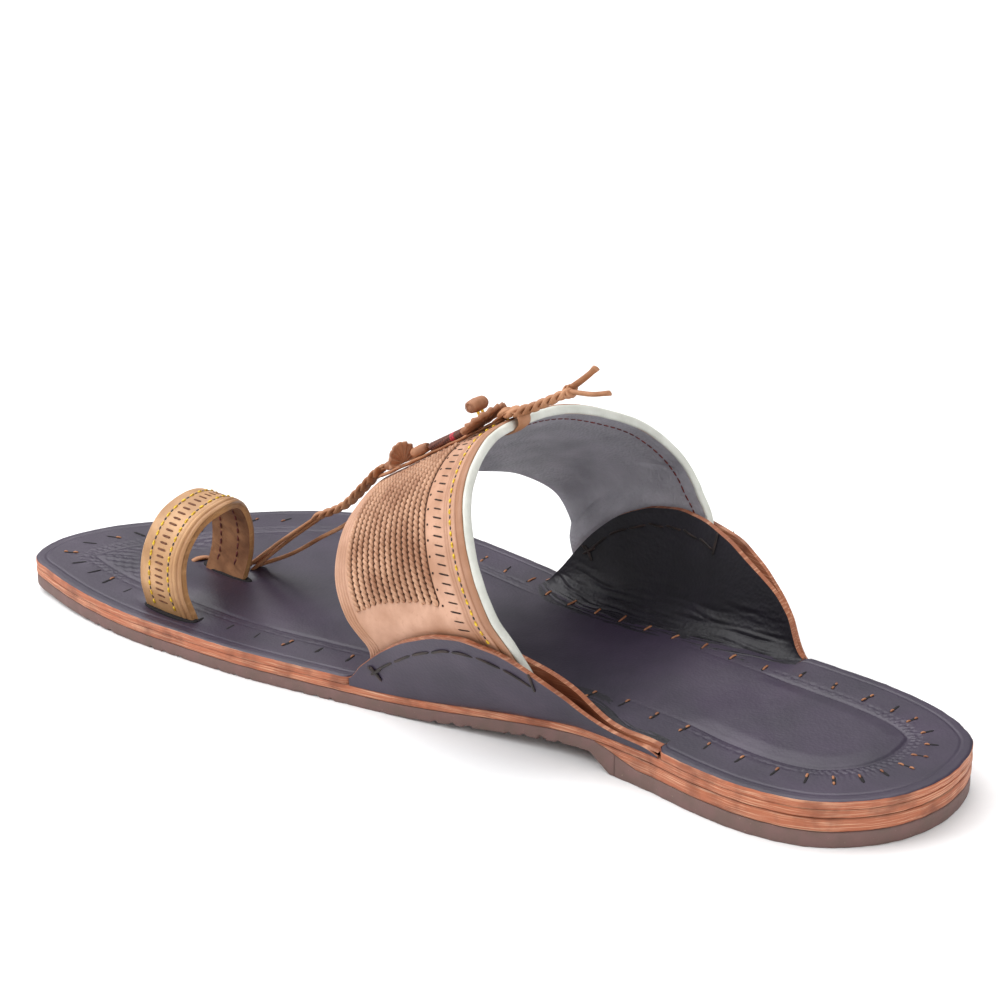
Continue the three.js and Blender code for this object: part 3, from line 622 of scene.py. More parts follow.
def finish_named(name):
    """The material of that name, made on first use."""
    found = bpy.data.materials.get(name)
    if found:
        return found
    maker, *values = FINISHES[name]
    sockets = values.pop() if isinstance(values[-1], dict) else {}
    values = [colour_of(value) if isinstance(value, str) else value for value in values]
    return maker(name, *values, **sockets)


# ---- the add-on's settings ----
def colour_setting(name, description, code):
    """A setting that is a colour."""
    return bpy.props.FloatVectorProperty(
        name=name, description=description, subtype="COLOR", size=4, min=0, max=1, default=linear(code))


def spacing_setting(name, description, default, least, most):
    """A setting that is a distance between neighbours."""
    description += ", in millimetres"
    return bpy.props.FloatProperty(name=name, description=description, default=default, min=least, max=most)


class SandalColours(bpy.types.PropertyGroup):
    """Colours of the sandal's leathers, rubber and threads."""

    plum: colour_setting("Plum leather", "Smooth dyed leather of the footbed and ears", "#3a2f42")
    tan: colour_setting("Natural leather", "Vegetable-tanned leather of the strap and toe ring", "#c99c82")
    edge: colour_setting("Cut edge", "Burnished edge of the sole leathers", "#ab6242")
    rubber: colour_setting("Rubber", "Sheet rubber under the sole", "#735652")
    thong: colour_setting("Thong leather", "Oiled thongs, plaits and ornaments", "#bb8763")
    lining: colour_setting("Lining", "Grained lining inside the strap", "#aeabb3")


class SandalSizes(bpy.types.PropertyGroup):
    """Sizes of the sandal's handwork."""

    cord_rows: bpy.props.IntProperty(
        name="Cord rows", description="Twisted cords side by side on the strap", default=14, min=2, max=16)
    cord_spacing: spacing_setting("Cord spacing", "From one cord to the next", 2.44, 1.5, 3)
    stitch_pitch: spacing_setting("Stitch pitch", "From one gold stitch to the next", 2.95, 1.5, 6)
    slit_spacing: spacing_setting("Slit spacing", "From one punched slit to the next", 2.5, 1.5, 6)
    lace_spacing: spacing_setting("Sole lacing", "From one thong slit to the next", 9.9, 5, 15)


class SandalSettings(bpy.types.PropertyGroup):
    """All settings of the sandal."""

    colours: bpy.props.PointerProperty(
        type=SandalColours, name="Colours", description="Colours of the materials")
    sizes: bpy.props.PointerProperty(type=SandalSizes, name="Sizes", description="Sizes of the handwork")


# ---- the sole ----
def close_rings(rings):
    """A closed body whose first and last rings lie on the middle line of the sole."""
    count = len(rings[0])
    points = np.vstack(rings)
    return points, grid_faces(len(rings), count, wrap=True)


EDGE_LEVELS = (1.0, 0.97, 0.86, 0.66, 0.5, 0.34, 0.14, 0.03, 0.0)  # from a layer's top to its bottom
CAP_SHARES = (1.0, 0.7, 0.4, 0.15)  # of the way from the edge to the middle line
LAYER_ROUND_OFF = 0.35
LAYER_SEAM_SHADE = 0.5  # how dark the painted shade along the line between two layers is


def sole_layer(bottom, top, thin=1, seed=1, roughness=0.08, bulge=0.12):
    """One layer of the sole, full length: caps on both sides and a slightly uneven cut edge."""
    keep = slice(None, None, thin)
    edge, inward, reach, run = EDGE[keep], INWARD[keep], REACH[keep], EDGE_RUN[:-1][keep]
    y = edge[:, 1]
    high, low = top(y), bottom(y)
    thickness = np.maximum(high - low, 0.05)
    uneven = roughness * wobble(run, seed, 9)
    rings = []
    for share in CAP_SHARES:
        plan = edge + inward * (reach * share)[:, None]
        rings.append(np.column_stack([plan, top(plan[:, 1])]))
    for level in EDGE_LEVELS:
        corner = np.clip(1 - np.minimum(level, 1 - level) * thickness / LAYER_ROUND_OFF, 0, 1)
        out = uneven + bulge * math.sin(math.pi * level) - LAYER_ROUND_OFF * (1 - np.sqrt(1 - corner**2))
        plan = edge - inward * out[:, None]
        rings.append(np.column_stack([plan, low + level * thickness]))
    for share in reversed(CAP_SHARES):
        plan = edge + inward * (reach * share)[:, None]
        rings.append(np.column_stack([plan, np.minimum(bottom(plan[:, 1]), top(plan[:, 1]) - 0.02)]))
    return rings


def cut_across(piece, y, keep_front):
    """Cuts a piece square across at y and closes the cut."""
    work = bmesh.new()
    work.from_mesh(piece.data)
    made = bmesh.ops.bisect_plane(
        work, geom=work.verts[:] + work.edges[:] + work.faces[:], dist=1e-7,
        plane_co=Vector((0, y * MM + CAD_LOW.y, 0)), plane_no=Vector((0, 1, 0)),
        clear_inner=keep_front, clear_outer=not keep_front)
    cut = [e for e in made["geom_cut"] if isinstance(e, bmesh.types.BMEdge)]
    bmesh.ops.contextual_create(work, geom=cut)
    work.to_mesh(piece.data)
    work.free()


WELD_DISTANCE = 0.01


def weld(piece):
    """Joins points of a piece that lie together."""
    work = bmesh.new()
    work.from_mesh(piece.data)
    bmesh.ops.remove_doubles(work, verts=work.verts, dist=WELD_DISTANCE * MM)
    bmesh.ops.recalc_face_normals(work, faces=work.faces)
    work.to_mesh(piece.data)
    work.free()


def layer_piece(name, rings, material, cut=None):
    """A sole layer as a piece, cut across where it ends."""
    points, faces = close_rings(rings)
    count = len(rings[0])
    # The marks darken the edge near the top and bottom of each layer: painted shade along the seams between
    # layers.
    caps = [1.0] * len(CAP_SHARES)
    rims = [max(0.0, 1 - min(level, 1 - level) / 0.1) for level in EDGE_LEVELS]
    marks = np.repeat(caps + rims + caps, count) * LAYER_SEAM_SHADE
    piece = make_piece(name, [(points, faces, None)], [material], marks=marks)
    weld(piece)
    if cut:
        cut_across(piece, *cut)
    return piece


NICKED_FROM, NICKED_TO = 84, 262


def nick_lower_edge(rings):
    """Tears small nicks and crumbs into the rubber's lower edge, worst at the inner waist."""
    run = EDGE_RUN[:-1]
    y, x = EDGE[:, 1], EDGE[:, 0]
    where = smooth(NICKED_FROM, NICKED_FROM + 4, y) * (1 - smooth(NICKED_TO - 40, NICKED_TO, y))
    where = where * np.clip(0.35 + 1.3 * wobble(run, 33, 31, 3), 0, 1)
    worst = 1 + 1.6 * bump_at(y, 102, 16) * (x < 0)
    ragged = np.clip(wobble(run, 31, 6.1, 4) - 0.1, 0, 1) * where * worst
    crumbs = np.clip(wobble(run, 32, 2.4, 2) - 0.2, 0, 1) * where * worst
    for ring, share in ((-5, 1.0), (-6, 0.75), (-7, 0.3)):
        rings[ring][:, 2] += 1.3 * share * ragged
        rings[ring][:, :2] += INWARD * (share * (0.9 * ragged - 0.5 * crumbs))[:, None]
    return rings


class SANDAL_OT_sole(bpy.types.Operator):
    """Builds the rubber outsole and heel, the heel lift and the midsole."""

    bl_idname = "sandal.sole"
    bl_label = "Sole layers"

    def execute(self, context):
        outsole = nick_lower_edge(sole_layer(outsole_bottom, rubber_top, seed=3, roughness=0.1, bulge=0.05))
        layer_piece("outsole", outsole, "knife_cut_rubber", cut=(BREAST_SEAM + 0.15, True))
        heel = sole_layer(lambda y: np.zeros_like(y), rubber_top, seed=4, roughness=0.08, bulge=0.1)
        layer_piece("heel_top_piece", heel, "knife_cut_rubber", cut=(BREAST_SEAM, False))
        lift = sole_layer(lift_bottom, lambda y: midsole_bottom(y) - SEAM, thin=2, seed=5, bulge=0.16)
        layer_piece("heel_lift", lift, "burnished_sole_edge", cut=(LIFT_FRONT, False))
        midsole = sole_layer(midsole_bottom, lambda y: midsole_top(y) - SEAM, thin=2, seed=6, bulge=0.16)
        layer_piece("midsole", midsole, "burnished_sole_edge")
        return {"FINISHED"}


# ---- the ears ----
def ear(side, rows, edge, strap_from, strap_to, name):
    """One ear: side is -1 at the inner edge of the sole and 1 at the outer."""
    return {
        "name": name, "side": side, "from": rows[0][0], "to": rows[-1][0], "edge": edge,
        "outer": profile(rows, 1), "wing": profile(rows, 2), "lean": profile(rows, 3, ease=3.0),
        "strap": (strap_from, strap_to),
    }


EARS = [
    ear(-1, MEDIAL_EAR, MEDIAL_EDGE, 72, 97, "medial"),
    ear(1, LATERAL_EAR, LATERAL_EDGE, 64, 97, "lateral"),
]


def ear_face(part, y, z):
    """Across position of an ear's outer face."""
    rise = np.maximum(0, (z - midsole_top(y)) / EAR_REFERENCE_HEIGHT)
    return part["edge"](y) + part["side"] * part["lean"](y) * rise**LEAN_EXPONENT


def wing_offset(part, y):
    """How far inside the outer face the turned-up footbed leather stands."""
    room = STRAP_THICKNESS * STRAP_LEAN + 2 * POCKET_CLEARANCE
    return EAR_LEATHER + 0.1 + (room + POCKET_CLEARANCE) * smooth(*part["strap"], y)


def fold_radius(standing):
    """Radius of an ear's inner fold where the leather stands that high."""
    standing = np.maximum(standing, 0.15)
    return np.minimum(0.95 * standing, 1.15 * WING_FOLD_RADIUS * standing / (standing + WING_FOLD_RADIUS))


def ear_taper(part, y):
    """1 along an ear, running out to 0 at both of its ends."""
    return smooth(part["from"] - 1, part["from"] + 7, y) * (1 - smooth(part["to"] - 4, part["to"] + 1, y))


def outer_ear_grids(part):
    """Face and back of the outer ear, with the shallow ripples of a bent piece."""
    ys = np.arange(part["from"], part["to"] + 0.01, 0.6)
    shares = np.linspace(0, 1, 30)
    y, share = np.meshgrid(ys, shares, indexing="ij")
    low = midsole_top(y) - 0.02
    lip = FOOTBED_THICKNESS * (0.1 + 0.6 * smooth(part["from"] - 1, part["from"] + 6, y))
    taper = ear_taper(part, y)
    z = low + share * (lip + np.maximum(part["outer"](y) - low - lip, 0) * (0.25 + 0.75 * taper))
    ripple = 0.16 * wobble(y + 0.4 * z, 41, 26, 2) * smooth(0, 0.3, share)
    x = ear_face(part, y, z) + part["side"] * ripple
    face = np.stack([x, y, z], -1)
    thick = EAR_EDGE * (0.35 + 0.65 * taper)
    back = face - np.stack([part["side"] * thick, 0 * y, 0 * y], -1)
    return face, back


# place in the fold, half width, depth: from the flat side of the fold up to its wall
CREASES = [
    (-3.4, 0.5, 0.16), (-1.8, 0.4, 0.3), (-0.4, 0.4, 0.36), (0.9, 0.5, 0.42), (2.2, 0.4, 0.46),
    (3.5, 0.55, 0.5), (4.9, 0.45, 0.46), (6.4, 0.6, 0.42), (8.0, 0.5, 0.34), (9.8, 0.7, 0.3),
    (12.0, 0.8, 0.2),
]


def fold_creases(part, y, girth):
    """Troughs and ridges of the leather where it folds up; girth is the distance from the fold's foot."""
    middle = (part["from"] + part["to"]) / 2
    ends = smooth(part["from"] + 2, part["from"] + 12, y) * (1 - smooth(part["to"] - 8, part["to"] + 2, y))
    depth = 0
    for i, (place, width, amount) in enumerate(CREASES):
        drift = 1.1 * wobble(y, 60 + i, 44, 2) + 0.03 * (y - middle) * (i % 3 - 1)
        strength = np.clip(0.55 + 0.8 * wobble(y, 80 + i, 30, 2), 0, 1)
        depth = depth - amount * strength * bump_at(girth, place + drift, 0.75 * width)
        depth = depth + 0.5 * amount * strength * bump_at(girth, place + drift + 1.7 * width, width)
    fine = 0.07 * wobble(girth * 3 + y * 0.3, 95, 7, 2) * wobble(y, 96, 9, 2)
    return (0.8 * depth + fine) * ends


def wing_grids(part):
    """Outside and inside of the footbed leather that is turned up inside an ear."""
    ys = np.arange(part["from"] + 0.2, part["to"] - 0.1, 0.6)
    apron = 5.0
    bed = footbed_top(ys)
    standing = np.maximum((part["wing"](ys) - bed) * (0.15 + 0.85 * ear_taper(part, ys)), 0.15)
    radius = fold_radius(standing)
    wall = np.linspace(1, 0, 60)[:, None]
    turn = np.linspace(0, math.pi / 2, 54)[1:, None]
    flat = np.linspace(0, 1, 24)[1:, None]
    z_wall = bed + radius + wall * (standing - radius)
    z_turn = bed + radius * (1 - np.sin(turn))
    z_flat = bed + 0 * flat + 0.03 - 0.1 * flat**2
    z = np.vstack([z_wall, z_turn, z_flat])
    fold = np.vstack([0 * z_wall, radius * (1 - np.cos(turn)), radius + flat * apron])
    girth = np.vstack([
        radius * math.pi / 2 + wall * (standing - radius), radius * (math.pi / 2 - turn) + 0 * z_turn,
        -flat * apron + 0 * z_flat,
    ])
    y = np.broadcast_to(ys, z.shape)
    x = ear_face(part, y, np.maximum(z, bed)) - part["side"] * (wing_offset(part, y) + WING_LEATHER + fold)
    inside = np.stack([x, y, z], -1)
    normals = grid_normals(inside)
    if normals[30, len(ys) // 2, 0] * part["side"] > 0:
        normals = -normals
    top_fade = 1 - smooth(0.75, 0.95, (z - bed) / standing)
    inside = inside + normals * (fold_creases(part, y, girth) * top_fade)[..., None]
    outside_z = np.vstack([z_wall, z_turn, 0 * z_flat + bed]) - np.vstack(
        [0 * z_wall, 0 * z_turn + 0.8, 0 * z_flat + 1.2])
    outside_x = ear_face(part, y, np.maximum(outside_z, bed)) - part["side"] * wing_offset(part, y)
    inner_drop = part["side"] * np.vstack([
        0 * z_wall, np.maximum(0, radius * (1 - np.cos(turn)) - 1.5), radius + flat * apron - 1.5,
    ])
    outside = np.stack([outside_x - inner_drop, y, outside_z], -1)
    return outside.transpose(1, 0, 2), inside.transpose(1, 0, 2)


def fold_height(x, y):
    """How high an ear's inner fold stands above the footbed at a place."""
    part = EARS[0] if x < 0 else EARS[1]
    if not part["from"] < y < part["to"]:
        return 0.0
    bed = float(footbed_top(y))
    standing = (float(part["wing"](y)) - bed) * (0.15 + 0.85 * float(ear_taper(part, y)))
    radius = float(fold_radius(standing))
    inset = float(wing_offset(part, y)) + WING_LEATHER + radius
    foot = float(ear_face(part, y, bed)) - part["side"] * inset
    depth = min(max(0.0, part["side"] * (x - foot)), radius * 0.98)
    return radius - math.sqrt(radius**2 - depth**2)


def thong_stitches(part, inner, drop, first, last, count):
    """Running stitches of dark thong under an ear's edge, crossed at the front and tied at the rear."""
    side = part["side"]
    top = part["wing"] if inner else part["outer"]

    def surface(y, z):
        inset = wing_offset(part, y) + WING_LEATHER if inner else 0
        return np.stack([ear_face(part, y, z) - side * inset, y, z], -1)

    out = np.array([-side if inner else side, 0, 0.1])
    parts = []
    stops = np.linspace(first, last, count + 1)
    for i in range(count):
        start, end = stops[i], stops[i + 1]
        ys = np.linspace(start, start + (end - start) * 0.9, 14)
        sag = drop + 0.35 * wobble(ys, 7 + i, 12, 1)
        line = surface(ys, top(ys) - sag)
        arch = np.sin(np.linspace(0, math.pi, 14))[:, None]
        parts.append(sweep(line + out * (0.06 + 0.2 * arch), out, 0.36, 0.26, sides=8, ends=0.9))
    z_front = top(first) - drop
    for dy, dz in ((2.0, 2.2), (2.4, -1.6), (-2.2, -1.2)):
        ys = np.linspace(first - dy, first + dy * 0.6, 9)
        zs = np.linspace(z_front - dz, z_front + dz * 0.7, 9)
        parts.append(sweep(surface(ys, zs) + out * 0.3, out, 0.4, 0.3, ends=0.8))
    zs = np.linspace(top(last) - drop - 1.2, top(last) + 0.1, 14)
    parts.append(sweep(surface(np.full(14, last), zs) + out * 0.25, out, 0.4, 0.3, ends=0.6))
    return parts


class SANDAL_OT_ears(bpy.types.Operator):
    """Builds the outer ears and the dark thong that sews them through the strap."""

    bl_idname = "sandal.ears"
    bl_label = "Ears"

    def execute(self, context):
        plum, edge = "plum_plated_leather", "raw_ear_edge"
        for part in EARS:
            name = "outer_ear_" + part["name"]
            face, back = outer_ear_grids(part)
            points, faces, kinds = sheet(face, back)
            across = face.shape[1] - 1
            # The face is pared along its top, so the raw leather shows there.
            for row in range(face.shape[0] - 1):
                kinds[row * across + across - 1] = RIM
            make_piece(name, [(points, faces, kinds)], [plum, edge, edge], bevel=0.3)
            outside = thong_stitches(part, False, 5.0, 145 if part["side"] < 0 else 140, 95, 7)
            inside = thong_stitches(part, True, 4.6, 140 if part["side"] < 0 else 137, 95, 7)
            make_piece("ear_thong_" + part["name"], outside + inside, ["dark_thong"])
        return {"FINISHED"}


# ---- the footbed ----
OVAL_INSET = 16.5
RING_FEET = ((-44.6, 220.0), (-15.0, 227.0))
SLIT_INSET = 10.0
SLIT_LENGTH = 4.8


def footbed_relief(distance, run, plan):
    """Tooling of the footbed's top, in millimetres: edge line, beaded double row and pillowed middle. Away
    from the edge it follows the nearest place on it."""
    y = plan[:, 1]
    nearest = [EDGE_TREE.find((px, py, 0)) for px, py in plan]
    inner = smooth(3, 6, distance)
    distance = distance + (np.array([found[2] for found in nearest]) - distance) * inner
    run = np.where(inner > 0.5, EDGE_RUN[[found[1] for found in nearest]], run)
    heel = 1 - smooth(70, 100, y)
    toe = smooth(225, 245, y)
    relief = -0.3 * np.clip(1 - distance / 0.9, 0, 1) ** 2
    relief = relief - 0.18 * bump_at(distance, 3.0, 0.32)
    beside_ear = smooth(56, 68, y) * (1 - smooth(146, 158, y))
    tooled = 1 - 0.85 * beside_ear
    relief = relief + (0.12 + 0.4 * heel) * smooth(OVAL_INSET - 0.6, OVAL_INSET + 5.0, distance) * tooled
    relief = relief - (0.3 + 0.2 * heel) * bump_at(distance, OVAL_INSET - 0.7, 0.6) * tooled
    dash = 0.5 + 0.5 * np.tanh(4 * np.sin(2 * math.pi * run / 2.8))
    relief = relief - 0.26 * dash * bump_at(distance, OVAL_INSET - 2.0, 0.55) * tooled
    relief = relief - 0.24 * (1 - dash) * bump_at(distance, OVAL_INSET - 3.4, 0.55) * tooled
    band = bump_at(distance, OVAL_INSET - 5.0, 0.5) * np.sin(2 * math.pi * run / 1.9)
    relief = relief + 0.1 * band * np.maximum(heel, toe) * tooled
    x = plan[:, 0]
    for ring_x, ring_y in RING_FEET:
        away = np.sqrt(((x - ring_x) / 3.0) ** 2 + ((y - ring_y) / 11.0) ** 2)
        relief = relief - 0.7 * np.exp(-(away**4))
    relief = relief + 1.5 * np.exp(-(((x + 31) / 9.5) ** 2) - ((y - 223) / 13.0) ** 2)
    away = np.sqrt((x - TOE_POST[0]) ** 2 + (y - TOE_POST[1]) ** 2)
    relief = relief + 0.5 * bump_at(away, 4.5, 2.2) - 0.5 * np.exp(-((away / 1.6) ** 2))
    leaf = np.sin(2 * math.pi * run / 5.6) * np.sin(2 * math.pi * (distance - OVAL_INSET) / 3.4)
    field = smooth(OVAL_INSET + 0.4, OVAL_INSET + 1.2, distance)
    field = field * (1 - smooth(OVAL_INSET + 6, OVAL_INSET + 9, distance))
    relief = relief + 0.18 * leaf * field * toe
    uneven = 0.09 * wobble(plan[:, 0] + 0.6 * y, 12, 60, 2) + 0.05 * wobble(y - plan[:, 0], 13, 24, 2)
    return relief + uneven * smooth(4, 12, distance)


def footbed_body():
    """The footbed's flat part, as rings of points."""
    keep = slice(None, None, 2)
    edge, inward, reach, run = EDGE[keep], INWARD[keep], REACH[keep], EDGE_RUN[:-1][keep]
    cover = ear_cover(edge[:, 1], edge[:, 0]) * (EAR_INSET + 0.6)
    uneven = 0.1 * wobble(run, 8, 8)
    distances = np.concatenate([
        np.arange(0, 4, 0.3), np.arange(4, OVAL_INSET - 4.5, 0.9),
        np.arange(OVAL_INSET - 4.5, OVAL_INSET + 9, 0.42),
    ])
    rings = []
    for share in np.linspace(1, 0, 16)[:-1]:
        start = distances[-1] + 0.6
        distance = start + (reach - start) * share
        plan = edge + inward * distance[:, None]
        rings.append(np.column_stack([plan, footbed_top(plan[:, 1]) + footbed_relief(distance, run, plan)]))
    for distance in distances[::-1]:
        real = np.maximum(distance, 0.02) - uneven * np.clip(1 - distance / 3, 0, 1)
        real = real + cover * np.clip(1 - distance / 8, 0, 1)
        plan = edge + inward * real[:, None]
        away = np.full(len(edge), float(distance))
        rings.append(np.column_stack([plan, footbed_top(plan[:, 1]) + footbed_relief(away, run, plan)]))
    top_rings = len(rings)
    for level in (0.85, 0.6, 0.35, 0.12, 0.0):
        out = uneven + 0.12 * math.sin(math.pi * level) - cover
        plan = edge - inward * out[:, None]
        rings.append(np.column_stack([plan, footbed_top(plan[:, 1]) - FOOTBED_THICKNESS * (1 - level)]))
    for share in (0.3, 0.7, 1.0):
        plan = edge + inward * (reach * share)[:, None]
        rings.append(np.column_stack([plan, footbed_top(plan[:, 1]) - FOOTBED_THICKNESS]))
    points, faces = close_rings(rings)
    count = len(edge)
    kinds = [FACE if i // count < top_rings - 1 else RIM for i in range(len(faces))]
    return points, faces, kinds


def lacing_slits(spacing):
    """Dark knife slits round the footbed, with the tan ends of the sewing thong showing in some of them."""
    slits, ends = [], []
    total = EDGE_RUN[-1]
    count = int(total / spacing)
    random = np.random.default_rng(5)
    for i in range(count):
        run = (i + 0.5) * total / count
        k = int(np.searchsorted(EDGE_RUN, run)) % EDGE_STEPS
        x, y = EDGE[k]
        inset = SLIT_INSET + 3.4 * float(ear_cover(np.array(y), np.array(x)))
        turn = random.uniform(-0.2, 0.2)
        cos, sin = math.cos(turn), math.sin(turn)
        heading = INWARD[k] @ np.array([[cos, sin], [-sin, cos]])
        centre = EDGE[k] + INWARD[k] * (inset + random.uniform(-0.4, 0.4))
        length = SLIT_LENGTH * random.uniform(0.75, 1.05)
        steps = np.linspace(-0.5, 0.5, 9)[:, None] * length
        plan = centre + heading * steps
        rise = np.array([fold_height(px, py) for px, py in plan])
        line = np.column_stack([plan, footbed_top(plan[:, 1]) + rise + 0.03])
        slits.append(sweep(line, (0, 0, 1), random.uniform(0.34, 0.5), 0.1, sides=8, ends=1.0))
        if y > 165 and x < 0 and random.random() < 0.8:
            continue
        whole = x > 0 and 62 < y < 160
        spans = [(-0.45, 0.4)] if whole else [(0.12, 0.5), (-0.5, -0.2)][:random.integers(1, 3)]
        for low, high in spans:
            steps = np.linspace(low, high, 9)[:, None] * length
            plan = centre + heading * steps + np.array([-heading[1], heading[0]]) * 0.15
            rise = np.array([fold_height(px, py) for px, py in plan])
            arch = np.sin(np.linspace(0.1, math.pi - 0.1, 9))
            line = np.column_stack([plan, footbed_top(plan[:, 1]) + rise + 0.04 + 0.2 * arch])
            ends.append(sweep(line, (0, 0, 1), 0.32, 0.2, sides=8, ends=0.5))
    return slits, ends


class SANDAL_OT_footbed(bpy.types.Operator):
    """Builds the tooled footbed, its turned-up wings and the lacing slits."""

    bl_idname = "sandal.footbed"
    bl_label = "Footbed"

    def execute(self, context):
        plum, edge = "plum_plated_leather", "burnished_sole_edge"
        bed = make_piece("footbed", [footbed_body()], [plum, plum, edge])
        weld(bed)
        for part in EARS:
            outside, inside = wing_grids(part)
            # The wings' inner faces are darkened as painted shade inside the ears.
            make_piece("footbed_wing_" + part["name"], [sheet(outside, inside)],
                       ["raw_ear_edge", "folded_plum_leather", "raw_ear_edge"], bevel=0.25)
        slits, ends = lacing_slits(context.scene.sandal.sizes.lace_spacing)
        make_piece("lacing_slits", slits, ["slit_shadow_plum"])
        make_piece("lacing_thong_ends", ends, ["lacing_thong"])
        return {"FINISHED"}


# ---- leather bands: the strap and the toe ring ----
def into_pocket(points):
    """Below an ear's top the strap follows the pocket between the ear's two layers."""
    x, y, z = points[..., 0], points[..., 1], points[..., 2]
    result = x.copy()
    for part in EARS:
        mine = np.sign(x) == part["side"]
        top = part["outer"](y)
        pocket = ear_face(part, y, z) - part["side"] * EAR_INSET
        inside = 1 - smooth(top, top + STRAP_FREE_ABOVE, z)
        inside = inside * smooth(STRAP_CROWN_HALF_WIDTH - 3, STRAP_CROWN_HALF_WIDTH, np.abs(x))
        result = np.where(mine, x + (pocket - x) * inside, result)
    return np.stack([result, y, z], -1)


def make_band(rear, front, shift, width, samples):
    """A band between two rims. Places on it are millimetres from its rear rim and along its length."""
    rear_line, front_line = spline(rear, samples), spline(front, samples)
    shares = np.linspace(0, 1, 24)
    share = shares[None, :, None]
    grid = shift(rear_line[:, None] * (1 - share) + front_line[:, None] * share)
    normals = grid_normals(grid)
    if normals[samples // 2, 12, 2] < 0:
        normals = -normals
    return {
        "rear": rear_line, "front": front_line, "shift": shift, "width": width, "shares": shares,
        "normals": normals,
    }


def band_line(band, from_rear):
    """The band's line at that distance from its rear rim, with its outward normals."""
    share = from_rear / band["width"]
    line = band["shift"](band["rear"] * (1 - share) + band["front"] * share)
    at = np.clip(share, 0, 1) * (len(band["shares"]) - 1)
    low = min(int(at), len(band["shares"]) - 2)
    normals = band["normals"][:, low] * (1 - at + low) + band["normals"][:, low + 1] * (at - low)
    return line, unit(normals)


def on_band(band, from_rear, lengths):
    """Points and normals of the band at lengths along the line that is from_rear from its rear rim."""
    line, normals = band_line(band, from_rear)
    return at_lengths(line, lengths, normals)


def band_grids(band, stops, thickness, relief):
    """Face and back of a band, with relief in millimetres by the distance from its rear rim."""
    lines = [band_line(band, stop) for stop in stops]
    face = np.stack([line + normals * relief(stop) for (line, normals), stop in zip(lines, stops)], 1)
    back = np.stack([line - normals * thickness for line, normals in lines], 1)
    return face, back


STITCH_HALF_WIDTH, STITCH_HALF_HEIGHT = 0.34, 0.26


def stitch_row(band, from_rear, pitch, start, end, stitch, hole):
    """Stitches along a band, and dark strips of painted shadow for the holes between them."""
    stitches, holes = [], []
    for centre in np.arange(start, end, pitch):
        line, normals = on_band(band, from_rear, centre + np.linspace(-0.5, 0.5, 7) * stitch)
        arch = np.sin(np.linspace(0, math.pi, 7))[:, None]
        raised = line + normals * (0.05 + 0.12 * arch)
        stitches.append(sweep(raised, normals, STITCH_HALF_WIDTH, STITCH_HALF_HEIGHT, ends=stitch * 0.35))
        line, normals = on_band(band, from_rear, centre + pitch / 2 + np.linspace(-0.5, 0.5, 5) * hole)
        holes.append(sweep(line + normals * 0.03, normals, STITCH_HALF_WIDTH * 0.95, 0.1, ends=hole * 0.4))
    return stitches, holes


def inner_seam(band, from_rear, pitch, start, end, half_stitch, thickness, half_width):
    """Flat stitches along the inside of a band of that thickness."""
    inside = dict(band, normals=-band["normals"])
    seam = []
    for centre in np.arange(start, end, pitch):
        points, up = on_band(inside, from_rear, centre + np.linspace(-half_stitch, half_stitch, 6))
        seam.append(sweep(points + up * (thickness + 0.08), up, half_width, 0.2, sides=6, ends=0.4))
    return seam


def slit_row(band, centre_line, spacing, start, end, length, half_width, faint=1.0):
    """Short slits punched across a band, every second one lighter."""
    slits = []
    for i, along in enumerate(np.arange(start, end, spacing)):
        wide = half_width * (1 if i % 2 == 0 else faint)
        long = length * (1 if i % 2 == 0 else 0.9)
        steps = centre_line + np.linspace(-0.5, 0.5, 8) * long
        places = [on_band(band, step, np.array([along])) for step in steps]
        line = np.vstack([p for p, _ in places])
        normals = np.vstack([n for _, n in places])
        slits.append(sweep(line + normals * 0.05, normals, wide, 0.08, sides=8, ends=long * 0.12))
    return slits


STRAP_WIDTH = 55.7
STRAP_SAMPLES = 260
STRAP_TRIM = 0.9  # the rear rim is pared back by this for the piping
GOLD_ROW = 5.2
SLIT_ROW = 10.6
DOT_ROW = 14.7
CORDS_FROM = 16.8
PLY_RADIUS = 0.52
PLY_OFFSET = 0.36
PLY_LAY = 3.2


def strap_band():
    rear, front = zip(*STRAP)
    return make_band(rear, front, into_pocket, STRAP_WIDTH, STRAP_SAMPLES)


# distance from the rear rim, depth and half width of a groove, brownness and half width of its stain
STRAP_GROOVES = [
    (3.4, 0.3, 0.3, 0.5, 0.35), (6.9, 0.26, 0.3, 0.45, 0.35), (7.9, 0.26, 0.3, 0.45, 0.35),
    *[(STRAP_WIDTH - back, 0.32, 0.26, 0.35, 0.3) for back in (1.1, 2.2, 3.3, 4.5)],
]


def strap_relief(stop):
    """Grooves along the strap's rims, and the step of its folded rear edge."""
    relief = -0.5 * max(0.0, 1 - (stop - STRAP_TRIM) / 1.0) ** 2
    relief -= sum(depth * bump_at(stop, place, half) for place, depth, half, _, _ in STRAP_GROOVES)
    return relief - 0.35 * max(0.0, 1 - (STRAP_WIDTH - stop) / 0.8) ** 2


def strap_burnish(stop):
    """How brown the strap is at that distance from its rear rim."""
    brown = 0.55 * (1 - smooth(3.2, 3.9, stop))
    brown += sum(stain * bump_at(stop, place, half) for place, _, _, stain, half in STRAP_GROOVES)
    return float(np.clip(brown, 0, 1))


def above_ears(line, clearance):
    """True where a line on the strap is that far above the ears' tops."""
    tops = np.where(line[:, 0] < 0, EARS[0]["outer"](line[:, 1]), EARS[1]["outer"](line[:, 1]))
    return line[:, 2] > tops + clearance


